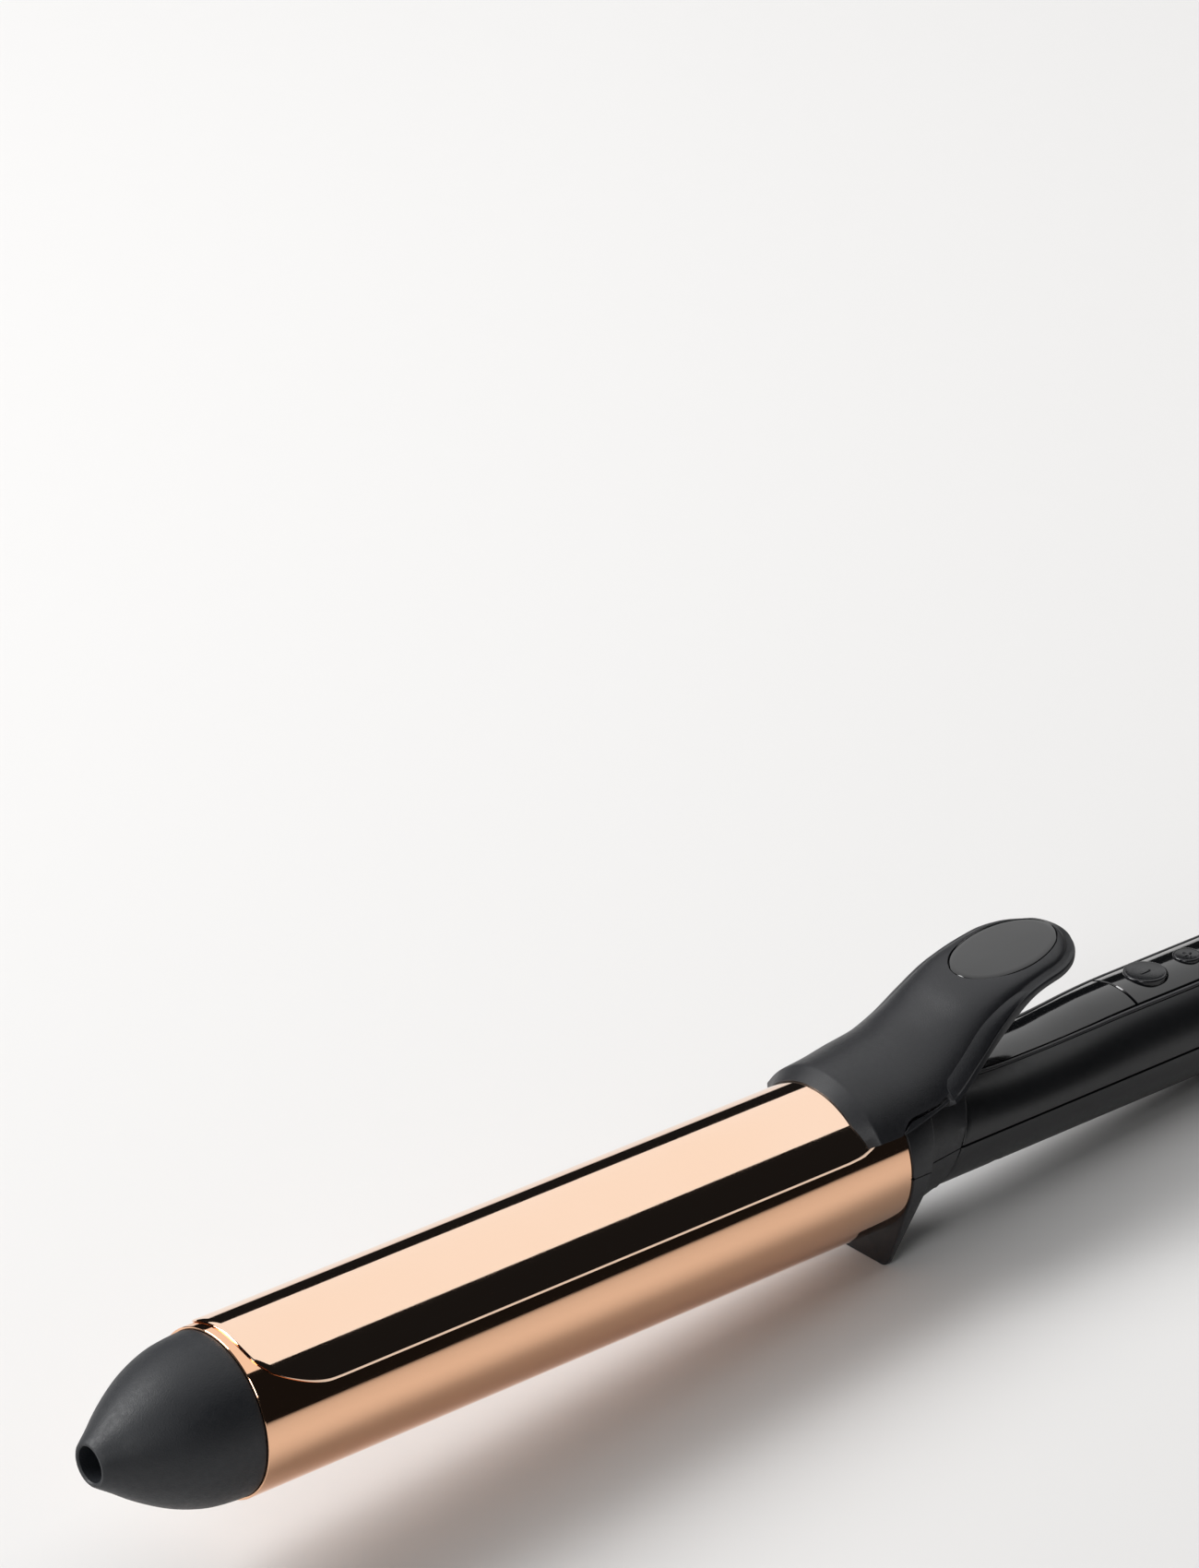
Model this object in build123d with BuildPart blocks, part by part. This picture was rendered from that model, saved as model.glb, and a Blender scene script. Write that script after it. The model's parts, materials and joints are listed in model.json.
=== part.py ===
"""A spring-clamp curling iron: heated barrel with a cool tip, clamp spoon on a thumb lever, collar with
a rest foot, two-shell handle with a control panel, and a turning cord inlet at the tail.

Millimetres. Every piece is drawn in the iron's own frame: the barrel's axis is X, its rear end is x = 0,
the tip is towards -X and the clamp is on top (+Z). The finished pieces are then laid in the resting pose,
on the foot and the handle's tail, with the table at z = 0.
"""

from build123d import *
import os
from math import acos, atan2, cos, degrees, hypot, sin, sqrt

# Barrel and cool tip
BARREL_R = 19.0
BARREL_L = 178.5
BARREL_WALL = 0.8
BORE_R = BARREL_R - BARREL_WALL
SPREADER_T = 0.6
TIP_R = 18.45
TIP_L = 31.5
NOSE_R = 4.75
NOSE_HOLE_R = 4.0
NOSE_HOLE_DEPTH = 20.0
TIP_SPIGOT_R = BORE_R - 0.05
TIP_SPIGOT_L = 8.0

# Clamp spoon: a thin sheet rolled to the barrel
SPOON_IN = BARREL_R + 0.12
SPOON_T = 0.45
SPOON_OUT = SPOON_IN + SPOON_T
SPOON_HALF_W = 17.0
SPOON_FRONT = -176.4
SPOON_REAR = -6.0
RIVET_R = 1.25
RIVET_L = 1.6
RIVETS = [(-10.0, -8.0), (-10.0, 0.0), (-10.0, 8.0)]

# Collar and foot
COLLAR_R = 19.5
COLLAR_BORE_R = 13.0
SPIGOT_L = 9.0
FOOT_DEPTH = 26.2
FOOT_HALF_W = 10.7
FOOT_CORNER_R = 2.8
SPLIT = 0.2
# the collar's rear face seen from the side, from the foot's edge up to the top (x, z)
COLLAR_REAR = [(1.3, -27.0), (4.4, -3.2), (5.5, 0.0), (8.0, 10.0), (10.4, 20.0)]

# Neck and handle
HANDLE_HALF_W = 15.4
HANDLE_HALF_H = 14.6
HANDLE_WALL = 2.4
HANDLE_FRONT = 18.3
HANDLE_SLANT = 0.42
HANDLE_END = 150.0
NECK_FRONT_R = 17.6
NECK_BORE_R = 12.5
NECK_SCREWS = [(11.5, -10.8), (11.5, 10.8)]
PANEL_HALF_W = 8.85
PANEL_EDGE_Z = 12.0
TRIM_HALF_W = 9.7
SHELL_SCREWS = [(x, y) for x in (34.0, 138.0) for y in (-9.4, 9.4)]
BOSS_TOP_R = 2.3
BOSS_LOW_R = 2.7
WELL_R = 2.15
SCREW_HEAD_R = 2.0
PANEL_SPLIT = 79.7
PANEL_END = 144.0
CROWN_FRONT = 12.7
CROWN_REAR = 14.6

# Controls
POWER_X = 89.5
POWER_R = 5.2
TEMP_X = (103.0, 115.0)
TEMP_R = 3.4
LAMP_X = [122.0 + 2.6 * i for i in range(5)]
LAMP_R = 0.9
BOARD_Z = 5.2
BOARD_T = 1.6
BOARD_X = (60.0, 134.5)
BOARD_HALF_W = 7.2
KEY_TOP = 14.9
KEY_BASE = 10.2

# Cord swivel
SWIVEL_R = 6.4
SWIVEL_BORE_R = 3.5
SWIVEL_BORE_L = 12.0
LEAD_BORE_R = 2.9
SWIVEL_END = 170.0
CAP_L = 7.0
CAP_ROUND = 4.5
TAIL_X = HANDLE_END + CAP_L - CAP_ROUND
RUN = 0.06
STEM_R = 4.6
RING_R = 5.4
RING_X = (138.0, 141.4)

# Clamp hinge, level across the top of the neck
HINGE_X = 13.0
HINGE_Z = 19.8
PIN_R = 1.5
PIN_L = 22.0
LUG_R = 2.6
LUG_ROOT = 2.5
EAR_R = 2.3
SEAT_Z = 15.2
SPRING_X = 20.9
SPRING_R = 2.6

# Thumb lever sections at stations along x. Each half section is one curve from the crown to the lower edge:
# x, half-width and height of the lower edge, height of the crown, how far the crown's level tangent reaches,
# and the point (y, z) that the side's tangent points at
LEVER = [
    (-9.5, 18.9, 12.0, 22.3, 7.6, (14.8, 18.4)),
    (3.0, 19.4, 13.6, 23.7, 7.7, (15.0, 19.9)),
    (13.5, 17.6, 15.9, 25.8, 8.1, (15.0, 21.8)),
    (19.5, 16.3, 18.8, 28.6, 8.2, (14.4, 24.9)),
    (25.5, 15.0, 22.6, 31.8, 8.6, (13.8, 29.4)),
    (32.5, 13.8, 26.6, 34.0, 9.6, (13.7, 33.3)),
    (40.0, 12.9, 30.2, 35.1, 10.5, (13.2, 34.9)),
    (47.0, 12.5, 31.7, 36.2, 10.6, (13.0, 36.0)),
    (54.0, 12.5, 32.6, 37.3, 10.6, (13.0, 37.0)),
    (60.5, 12.5, 33.3, 38.3, 10.6, (13.0, 38.0)),
]
LEVER_LIP = (-13.4, 16.6, 11.2, 20.0, 6.6, (12.9, 16.7))
# the lip's front edge seen from above, from the crown to the lower corner (x, y)
LIP_EDGE = [(-13.4, 0.0), (-12.9, 13.0), (-11.4, 16.3), (-9.5, 19.0)]
LEVER_SCREWS = [(42.0, 0.0), (52.0, 0.0)]
LEVER_END = 59.2
LEVER_NOSE_R = 12.7
LEVER_WALL = 1.8
# the joint between the lever's upper shell and lower cover, seen from the side (x, z)
LEVER_JOINT = [(-6.0, 10.4), (-3.2, 12.2), (-0.7, 14.1), (4.0, 14.9), (9.5, 15.6), (15.2, 17.9),
               (22.0, 22.1), (30.0, 27.7), (37.0, 31.9), (44.0, 33.9), (52.0, 35.2), (64.0, 36.6)]
SADDLE_R = SPOON_OUT + 0.02
SKIRT_R = COLLAR_R + 0.45
INLAY_X = 43.8
INLAY_A = 14.0
INLAY_B = 9.8
INLAY_T = 1.2
PAD_SLOPE = 0.155
PAD_Z = 35.85


def handle_face(z):
    """The slanted front plane of the handle: x at height z."""
    return HANDLE_FRONT + HANDLE_SLANT * z


def barrel_tube():
    """Drawn tube with both ends lightly rolled."""
    with BuildPart() as tube:
        with BuildSketch(Plane.YZ.offset(-BARREL_L)):
            Circle(BARREL_R)
            Circle(BORE_R, mode=Mode.SUBTRACT)
        extrude(amount=BARREL_L)
        fillet(tube.edges().filter_by(GeomType.CIRCLE).group_by(SortBy.RADIUS)[-1], 0.25)
    return tube


def cool_tip():
    """Moulded bullet with a deep nose hole, a hollow body and a spigot that plugs into the barrel."""
    base = -BARREL_L - 0.1
    nose = base - TIP_L
    floor = nose + NOSE_HOLE_DEPTH
    with BuildPart() as tip:
        with BuildSketch(Plane.XZ):
            with BuildLine():
                Polyline((nose, NOSE_HOLE_R), (nose, NOSE_R - 0.3))
                Spline(
                    (nose, NOSE_R - 0.3),
                    (nose + 0.4, NOSE_R + 0.25),
                    (base - 24, 10.3),
                    (base - 16, 15.0),
                    (base - 8, 17.6),
                    (base, TIP_R),
                    tangents=((0.3, 1), (1, 0.05)),
                )
                Polyline(
                    (base, TIP_R),
                    (base, TIP_SPIGOT_R),
                    (base + TIP_SPIGOT_L, TIP_SPIGOT_R),
                    (base + TIP_SPIGOT_L, TIP_SPIGOT_R - 1.4),
                    (base - 6, TIP_SPIGOT_R - 2.6),
                    (base - 14, 13.2),
                    (floor + 1.5, NOSE_HOLE_R + 2.4),
                    (floor + 6, NOSE_HOLE_R + 1.6),
                    (floor + 6, 1.3),
                    (floor, 1.3),
                    (floor, NOSE_HOLE_R),
                    (nose, NOSE_HOLE_R),
                )
            make_face()
        revolve(axis=Axis.X)
    return tip


def tip_screw():
    """Pan-head screw at the bottom of the nose hole, into the front bracket."""
    floor = -BARREL_L - 0.1 - TIP_L + NOSE_HOLE_DEPTH
    with BuildPart() as screw:
        with BuildSketch(Plane.YZ.offset(floor)):
            Circle(1.25)
        extrude(amount=20)
        with BuildSketch(Plane.YZ.offset(floor - 2.0)):
            Circle(3.0)
        extrude(amount=2.0)
        fillet(screw.edges().filter_by(GeomType.CIRCLE).sort_by(Axis.X)[0], 0.9)
        with BuildSketch(Plane.YZ.offset(floor - 2.0)):
            Rectangle(3.2, 0.7)
            Rectangle(0.7, 3.2)
        extrude(amount=1.2, mode=Mode.SUBTRACT)
    return screw


def tip_bracket():
    """Pressed steel cup inside the barrel's mouth, with a threaded collar for the tip's screw."""
    face = -BARREL_L + TIP_SPIGOT_L + 2.0
    with BuildPart() as bracket:
        with BuildSketch(Plane.YZ.offset(face)):
            Circle(BORE_R)
            with PolarLocations(11.5, 4):
                Circle(3.2, mode=Mode.SUBTRACT)
        extrude(amount=1.0)
        with BuildSketch(Plane.YZ.offset(face)):
            Circle(BORE_R)
            Circle(BORE_R - 1.0, mode=Mode.SUBTRACT)
        extrude(amount=6)
        with BuildSketch(Plane.YZ.offset(face - 4)):
            Circle(2.8)
        extrude(amount=5)
        with BuildSketch(Plane.YZ.offset(face - 4)):
            Circle(1.25)
        extrude(amount=12, mode=Mode.SUBTRACT)
    return bracket


def heat_spreader(top):
    """Half-round aluminium extrusion that presses the heater's heat into the tube."""
    front, rear = -140.0, -22.0
    side = 1 if top else -1
    with BuildPart() as spreader:
        with BuildSketch(Plane.YZ.offset(front)):
            Circle(BORE_R - 0.05)
            Circle(BORE_R - SPREADER_T, mode=Mode.SUBTRACT)
            with Locations((0, -side * 14.0)):
                Rectangle(40, 32, mode=Mode.SUBTRACT)
            with Locations((0, side * 2.5)):
                Rectangle(16, 1.0)
            for y in (-7.0, 7.0):
                with Locations((y, side * 9.25)):
                    Rectangle(0.9, 13.5)
        extrude(amount=rear - front)
    return spreader


def heater_plate():
    """Ceramic heater bar, clamped between the two spreaders."""
    with BuildPart() as heater:
        with BuildSketch(Plane.XY.offset(-2.0)):
            with Locations((-86, 0)):
                RectangleRounded(118, 12, 1.0)
        extrude(amount=4.0)
    return heater


def spreader_springs():
    """Bowed strips at each side that push the spreaders apart against the tube."""
    with BuildPart() as springs:
        for y in (-15.4, 15.4):
            for x in (-130.0, -42.0):
                with BuildSketch(Plane.XZ.offset(-y - 2.2)):
                    with BuildLine():
                        bow = ThreePointArc((x - 11, -1.7), (x, 1.7), (x + 11, -1.7))
                        offset(bow, 0.2, side=Side.BOTH)
                    make_face()
                extrude(amount=4.4)
    return springs


def thermal_fuse():
    """One-shot fuse can strapped on the upper spreader's web."""
    with BuildPart() as fuse:
        with BuildSketch(Plane.YZ.offset(-60)):
            with Locations((3.2, 5.2)):
                Circle(2.1)
        extrude(amount=11)
        with BuildSketch(Plane.YZ.offset(-64)):
            with Locations((3.2, 5.2)):
                Circle(0.5)
        extrude(amount=19)
    return fuse


def thermistor():
    """Glass bead temperature sensor beside the fuse."""
    with BuildPart() as bead:
        with BuildSketch(Plane.YZ.offset(-100)):
            with Locations((-3.2, 4.4)):
                Circle(1.3)
        extrude(amount=6)
        fillet(bead.edges().filter_by(GeomType.CIRCLE), 0.6)
    return bead


def rear_insulator():
    """Mica disc at the back of the heater that keeps the leads apart."""
    with BuildPart() as disc:
        with BuildSketch(Plane.YZ.offset(-14)):
            Circle(BORE_R - 0.2)
            with GridLocations(6, 6, 2, 2):
                Circle(1.3, mode=Mode.SUBTRACT)
        extrude(amount=1.5)
    return disc


def heater_leads():
    """Four sleeved leads from the heater and its sensors through the neck to the circuit board."""
    with BuildPart() as leads:
        with BuildSketch(Plane.YZ.offset(-20.5)):
            with GridLocations(6, 6, 2, 2):
                Circle(1.2)
        extrude(amount=78)
    return leads


def foot_touch():
    """Where the foot's straight side leaves the collar's circle: (y, z) on the +Y side."""
    corner = hypot(FOOT_HALF_W, FOOT_DEPTH)
    turn = atan2(-FOOT_DEPTH, FOOT_HALF_W) + acos(COLLAR_R / corner)
    return COLLAR_R * cos(turn), COLLAR_R * sin(turn)


def table_line(x):
    """Height of the resting plane under the iron: it touches the foot and the handle's tail."""
    return -FOOT_DEPTH + x * (FOOT_DEPTH - HANDLE_HALF_H) / TAIL_X


def collar_half(top):
    """Half of the collar: flange, a spigot that the barrel slides over, and below it the rest foot."""
    with BuildPart() as collar:
        with BuildSketch(Plane.YZ):
            Circle(COLLAR_R)
            if not top:
                y, z = foot_touch()
                with BuildLine():
                    Polyline(
                        (-y, z), (-FOOT_HALF_W, -FOOT_DEPTH), (FOOT_HALF_W, -FOOT_DEPTH), (y, z), close=True
                    )
                make_face()
        extrude(amount=12)
        if not top:
            fillet(collar.edges().filter_by(Axis.X).group_by(Axis.Z)[0], FOOT_CORNER_R)
        with BuildSketch(Plane.XZ):
            with BuildLine():
                Polyline((-1, -40), (-0.2, -40), *COLLAR_REAR, (10.4, 40), (-1, 40), close=True)
            make_face()
        extrude(amount=30, both=True, mode=Mode.INTERSECT)
        with BuildSketch(Plane.YZ.offset(-SPIGOT_L)):
            Circle(BORE_R - 0.05)
            Circle(BORE_R - 2.0, mode=Mode.SUBTRACT)
        extrude(amount=SPIGOT_L)
        with BuildSketch(Plane.YZ.offset(-0.5)):
            Circle(COLLAR_BORE_R)
        extrude(amount=14, mode=Mode.SUBTRACT)
        if not top:
            with BuildSketch(Plane.XZ):
                with BuildLine():
                    Polyline((-2, table_line(-2)), (12, table_line(12)), (12, -40), (-2, -40), close=True)
                make_face()
            extrude(amount=30, both=True, mode=Mode.SUBTRACT)
        half_space(top, SPLIT / 2)
    return collar


def half_space(top, gap):
    """Inside a piece being built: keep only what is above or below the level split."""
    side = 1 if top else -1
    with BuildSketch(Plane.XY.offset(side * gap)) as level:
        with Locations((80, 0)):
            Rectangle(240, 80)
    extrude(level.sketch, amount=side * 60, mode=Mode.INTERSECT)


def neck_half(top):
    """Half of the cone between the collar and the handle, with a spigot inside the handle's front."""
    rear = [(x + 0.12, z) for x, z in COLLAR_REAR]
    with BuildPart() as neck:
        with BuildSketch(Plane.YZ.offset(0.5)):
            Circle(NECK_FRONT_R)
        with BuildSketch(Plane.YZ.offset(HANDLE_FRONT)):
            Ellipse(HANDLE_HALF_W, HANDLE_HALF_H)
        with BuildSketch(Plane.YZ.offset(30)):
            Ellipse(HANDLE_HALF_W, HANDLE_HALF_H)
        loft(ruled=True)
        with BuildSketch(Plane.XZ):
            with BuildLine():
                Polyline(
                    *rear, (handle_face(20) - 0.2, 20), (handle_face(-27) - 0.2, -27), close=True
                )
            make_face()
        extrude(amount=30, both=True, mode=Mode.INTERSECT)
        with BuildSketch(Plane.YZ.offset(HANDLE_FRONT - 3)):
            Ellipse(HANDLE_HALF_W - HANDLE_WALL - 0.1, HANDLE_HALF_H - HANDLE_WALL - 0.1)
        extrude(amount=11)
        with BuildSketch(Plane.YZ.offset(-1)):
            Ellipse(NECK_BORE_R - 0.6, NECK_BORE_R - 1.2)
        extrude(amount=50, mode=Mode.SUBTRACT)
        with Locations(*[(x, y, 0) for x, y in NECK_SCREWS]):
            if top:
                Cylinder(2.6, 6.5, align=(Align.CENTER, Align.CENTER, Align.MIN))
                Cylinder(1.1, 6.0, align=(Align.CENTER, Align.CENTER, Align.MIN), mode=Mode.SUBTRACT)
            else:
                Cylinder(2.6, 7.5, align=(Align.CENTER, Align.CENTER, Align.MAX))
                Cylinder(1.3, 30, align=(Align.CENTER, Align.CENTER, Align.CENTER), mode=Mode.SUBTRACT)
                with Locations((0, 0, -7.5)):
                    Cylinder(2.4, 14, align=(Align.CENTER, Align.CENTER, Align.MAX), mode=Mode.SUBTRACT)
        if top:
            with BuildSketch(Plane.XY.offset(SEAT_Z)):
                with Locations((HINGE_X + 0.7, 0)):
                    Rectangle(7.4, 16)
            extrude(amount=10, mode=Mode.SUBTRACT)
            with BuildSketch(Plane.XZ):
                with BuildLine():
                    Polyline(
                        (handle_face(7.8) - 0.2, 7.8), (handle_face(20) - 0.2, 20), (45, 20), (45, 7.8),
                        close=True,
                    )
                make_face()
            extrude(amount=30, both=True, mode=Mode.SUBTRACT)
        half_space(top, SPLIT / 2)
    return neck


def neck_screws():
    """Two screws from below that clamp the neck's halves together."""
    with BuildPart() as screws:
        with Locations(*[(x, y, -7.5) for x, y in NECK_SCREWS]):
            Cylinder(1.1, 13, align=(Align.CENTER, Align.CENTER, Align.MIN))
            Cylinder(SCREW_HEAD_R, 1.8, align=(Align.CENTER, Align.CENTER, Align.MAX))
    return screws


def shell_ring(front, rear):
    """Inside a piece being built: the handle's oval wall between two stations."""
    with BuildSketch(Plane.YZ.offset(front)) as wall:
        Ellipse(HANDLE_HALF_W, HANDLE_HALF_H)
        Ellipse(HANDLE_HALF_W - HANDLE_WALL, HANDLE_HALF_H - HANDLE_WALL, mode=Mode.SUBTRACT)
    extrude(wall.sketch, amount=rear - front)


def cut_slant(shift):
    """Inside a piece being built: take off what is in front of the handle's slanted face."""
    with BuildSketch(Plane.XZ) as front:
        with BuildLine():
            Polyline(
                (handle_face(-30) + shift, -30), (handle_face(30) + shift, 30), (-40, 30), (-40, -30),
                close=True,
            )
        make_face()
    extrude(front.sketch, amount=30, both=True, mode=Mode.SUBTRACT)


def panel_outline(half_w, rear, corner):
    """A level sketch of the long panel opening, rounded at its rear."""
    with BuildSketch(Plane.XY.offset(8.0)) as outline:
        with Locations(((rear - 20) / 2, 0)):
            Rectangle(rear + 20, 2 * half_w)
        fillet(outline.vertices().group_by(Axis.X)[-1], corner)
    return outline.sketch


def handle_shell_upper():
    """Matte upper shell, open along the top for the panels, with screw bosses and a rebate at its edge."""
    with BuildPart() as shell:
        shell_ring(5, HANDLE_END)
        for x, y in SHELL_SCREWS:
            with BuildSketch(Plane.XY):
                with Locations((x, y)):
                    Circle(BOSS_TOP_R)
            extrude(amount=8.2)
        extrude(panel_outline(TRIM_HALF_W, PANEL_END, 5.0), amount=20, mode=Mode.SUBTRACT)
        with BuildSketch(Plane.YZ):
            Ellipse(HANDLE_HALF_W - 1.25, HANDLE_HALF_H - 1.25)
            with Locations((0, 20 + 1.6)):
                Rectangle(60, 40, mode=Mode.SUBTRACT)
            Ellipse(
                HANDLE_HALF_W - HANDLE_WALL - 0.05, HANDLE_HALF_H - HANDLE_WALL - 0.05, mode=Mode.SUBTRACT
            )
        extrude(amount=HANDLE_END + 1, mode=Mode.SUBTRACT)
        for x, y in SHELL_SCREWS:
            with BuildSketch(Plane.XY):
                with Locations((x, y)):
                    Circle(1.1)
            extrude(amount=7, mode=Mode.SUBTRACT)
        cut_slant(0)
        half_space(True, 0.25)
    return shell


def handle_shell_lower():
    """Matte lower shell with a tongue that enters the upper shell, and recessed screw bosses."""
    with BuildPart() as shell:
        shell_ring(5, HANDLE_END)
        for x, y in SHELL_SCREWS:
            with BuildSketch(Plane.XY.offset(-8.7)):
                with Locations((x, y)):
                    Circle(BOSS_LOW_R)
            extrude(amount=8.45)
        half_space(False, 0.25)
        with BuildSketch(Plane.YZ.offset(16)):
            Ellipse(HANDLE_HALF_W - 1.4, HANDLE_HALF_H - 1.4)
            Ellipse(HANDLE_HALF_W - HANDLE_WALL, HANDLE_HALF_H - HANDLE_WALL, mode=Mode.SUBTRACT)
            with Locations((0, 0.4)):
                Rectangle(60, 2.0, mode=Mode.INTERSECT)
        extrude(amount=HANDLE_END - 16)
        for x, y in SHELL_SCREWS:
            with BuildSketch(Plane.XY.offset(-30)):
                with Locations((x, y)):
                    Circle(WELL_R)
            extrude(amount=22.5, mode=Mode.SUBTRACT)
            with BuildSketch(Plane.XY.offset(-10)):
                with Locations((x, y)):
                    Circle(1.3)
            extrude(amount=12, mode=Mode.SUBTRACT)
        cut_slant(0)
    return shell


def handle_screws():
    """Four screws that join the handle's shells from below."""
    with BuildPart() as screws:
        for x, y in SHELL_SCREWS:
            with Locations((x, y, -7.5)):
                Cylinder(1.1, 13.5, align=(Align.CENTER, Align.CENTER, Align.MIN))
                Cylinder(SCREW_HEAD_R, 1.8, align=(Align.CENTER, Align.CENTER, Align.MAX))
    return screws


def trim_frame():
    """Satin bead round the glossy panels, with an inner ledge that carries them."""
    with BuildPart() as trim:
        extrude(panel_outline(TRIM_HALF_W - 0.05, PANEL_END - 0.05, 4.95), amount=8)
        with BuildSketch(Plane.YZ):
            Ellipse(HANDLE_HALF_W + 0.1, HANDLE_HALF_H + 0.1)
        extrude(amount=HANDLE_END, mode=Mode.INTERSECT)
        extrude(panel_outline(PANEL_HALF_W + 0.05, PANEL_END - 0.8, 4.2), amount=20, mode=Mode.SUBTRACT)
        extrude(panel_outline(PANEL_HALF_W + 0.06, PANEL_END - 0.75, 4.2), amount=2.2)
        extrude(panel_outline(PANEL_HALF_W - 1.4, PANEL_END - 2.5, 3.0), amount=2.2, mode=Mode.SUBTRACT)
        cut_slant(0)
    return trim


def panel_blank(front, rear, crown_front, crown_rear):
    """Inside a piece being built: a crowned strip between two stations."""
    sections = []
    for x, crown in ((front, crown_front), (rear, crown_rear)):
        with BuildSketch(Plane.YZ.offset(x)) as section:
            with BuildLine():
                ThreePointArc((-PANEL_HALF_W, PANEL_EDGE_Z), (0, crown), (PANEL_HALF_W, PANEL_EDGE_Z))
                Line((PANEL_HALF_W, PANEL_EDGE_Z), (PANEL_HALF_W, PANEL_EDGE_Z - 1.9))
                ThreePointArc(
                    (PANEL_HALF_W, PANEL_EDGE_Z - 1.9), (0, crown - 1.8), (-PANEL_HALF_W, PANEL_EDGE_Z - 1.9)
                )
                Line((-PANEL_HALF_W, PANEL_EDGE_Z - 1.9), (-PANEL_HALF_W, PANEL_EDGE_Z))
            make_face()
        sections.append(section.sketch)
    loft(sections, ruled=True)


def top_panel():
    """Glossy panel under the lever, dished towards the neck."""
    with BuildPart() as panel:
        panel_blank(16, PANEL_SPLIT - 0.15, CROWN_FRONT, CROWN_REAR - 0.1)
        cut_slant(0)
    return panel


def control_panel():
    """Glossy panel behind it, with holes for the buttons and the indicator lenses."""
    with BuildPart() as panel:
        panel_blank(PANEL_SPLIT + 0.15, PANEL_END, CROWN_REAR, CROWN_REAR)
        extrude(panel_outline(PANEL_HALF_W, PANEL_END - 0.85, 4.15), amount=10, mode=Mode.INTERSECT)
        with BuildSketch(Plane.XY):
            with Locations((POWER_X, 0)):
                Circle(POWER_R + 0.15)
            with Locations(*[(x, 0) for x in TEMP_X]):
                Circle(TEMP_R + 0.15)
            with Locations(*[(x, 0) for x in LAMP_X]):
                Circle(LAMP_R + 0.02)
        extrude(amount=20, mode=Mode.SUBTRACT)
    return panel


def button(x, radius):
    """Round key with a hidden flange that stops it under the panel and a stem over its switch."""
    with BuildPart() as key:
        with Locations((x, 0, KEY_BASE)):
            Cylinder(radius, KEY_TOP - KEY_BASE, align=(Align.CENTER, Align.CENTER, Align.MIN))
        fillet(key.edges().filter_by(GeomType.CIRCLE).sort_by(Axis.Z)[-1], 0.5)
        with Locations((x, 0, KEY_BASE)):
            Cylinder(radius + 0.8, 0.9, align=(Align.CENTER, Align.CENTER, Align.MIN))
            Cylinder(1.4, 0.9, align=(Align.CENTER, Align.CENTER, Align.MAX))
    return key


def indicator_lenses():
    """A row of clear light pipes, one for each heat step."""
    with BuildPart() as lenses:
        with Locations(*[(x, 0, 8.4) for x in LAMP_X]):
            Cylinder(LAMP_R, CROWN_REAR + 0.1 - 8.4, align=(Align.CENTER, Align.CENTER, Align.MIN))
    return lenses


def indicator_lamps():
    """Small lamps on the board under the light pipes."""
    with BuildPart() as lamps:
        with Locations(*[(x, 0, BOARD_Z + BOARD_T) for x in LAMP_X]):
            Box(1.6, 2.0, 1.2, align=(Align.CENTER, Align.CENTER, Align.MIN))
    return lamps


def circuit_board():
    """Control board on the handle's middle line."""
    with BuildPart() as board:
        with Locations(((BOARD_X[0] + BOARD_X[1]) / 2, 0, BOARD_Z)):
            Box(
                BOARD_X[1] - BOARD_X[0], 2 * BOARD_HALF_W, BOARD_T,
                align=(Align.CENTER, Align.CENTER, Align.MIN),
            )
    return board


def tact_switches():
    """One tact switch under each button."""
    with BuildPart() as switches:
        for x in (POWER_X, *TEMP_X):
            with Locations((x, 0, BOARD_Z + BOARD_T)):
                Box(6, 6, 1.2, align=(Align.CENTER, Align.CENTER, Align.MIN))
                Cylinder(1.6, 1.9, align=(Align.CENTER, Align.CENTER, Align.MIN))
    return switches


def power_triac():
    """Flat power switch under the board, with its heat tab."""
    with BuildPart() as triac:
        with Locations((74, 0, BOARD_Z - 4.6)):
            Box(10, 10, 4.6, align=(Align.CENTER, Align.CENTER, Align.MIN))
        with Locations((83, 0, BOARD_Z - 4.6)):
            Box(8, 10, 1.3, align=(Align.CENTER, Align.CENTER, Align.MIN))
    return triac


def mains_capacitor():
    """Suppression capacitor under the board."""
    with BuildPart() as capacitor:
        with Locations((108, 0, BOARD_Z - 11)):
            Box(26, 12, 11, align=(Align.CENTER, Align.CENTER, Align.MIN))
        fillet(capacitor.edges(), 0.8)
    return capacitor


def rear_cap():
    """Closing cap of the handle, pushed into the shells and bored for the cord swivel."""
    with BuildPart() as cap:
        with BuildSketch(Plane.YZ.offset(HANDLE_END + 0.15)):
            Ellipse(HANDLE_HALF_W, HANDLE_HALF_H)
        extrude(amount=CAP_L - 0.15)
        fillet(cap.faces().sort_by(Axis.X)[-1].edges(), CAP_ROUND)
        with BuildSketch(Plane.YZ.offset(HANDLE_END - 5)):
            Ellipse(HANDLE_HALF_W - HANDLE_WALL - 0.05, HANDLE_HALF_H - HANDLE_WALL - 0.05)
            Ellipse(HANDLE_HALF_W - HANDLE_WALL - 1.6, HANDLE_HALF_H - HANDLE_WALL - 1.6, mode=Mode.SUBTRACT)
        extrude(amount=5.2)
        with BuildSketch(Plane.YZ.offset(HANDLE_END)):
            Circle(SWIVEL_R + RUN)
        extrude(amount=CAP_L + 2, mode=Mode.SUBTRACT)
    return cap


def swivel_retainer():
    """Plate that keeps the swivel's flange against the cap."""
    with BuildPart() as plate:
        with BuildSketch(Plane.YZ.offset(145.2)):
            Ellipse(HANDLE_HALF_W - HANDLE_WALL - 1.8, HANDLE_HALF_H - HANDLE_WALL - 1.8)
            Circle(STEM_R + RUN, mode=Mode.SUBTRACT)
        extrude(amount=2)
    return plate


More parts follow.
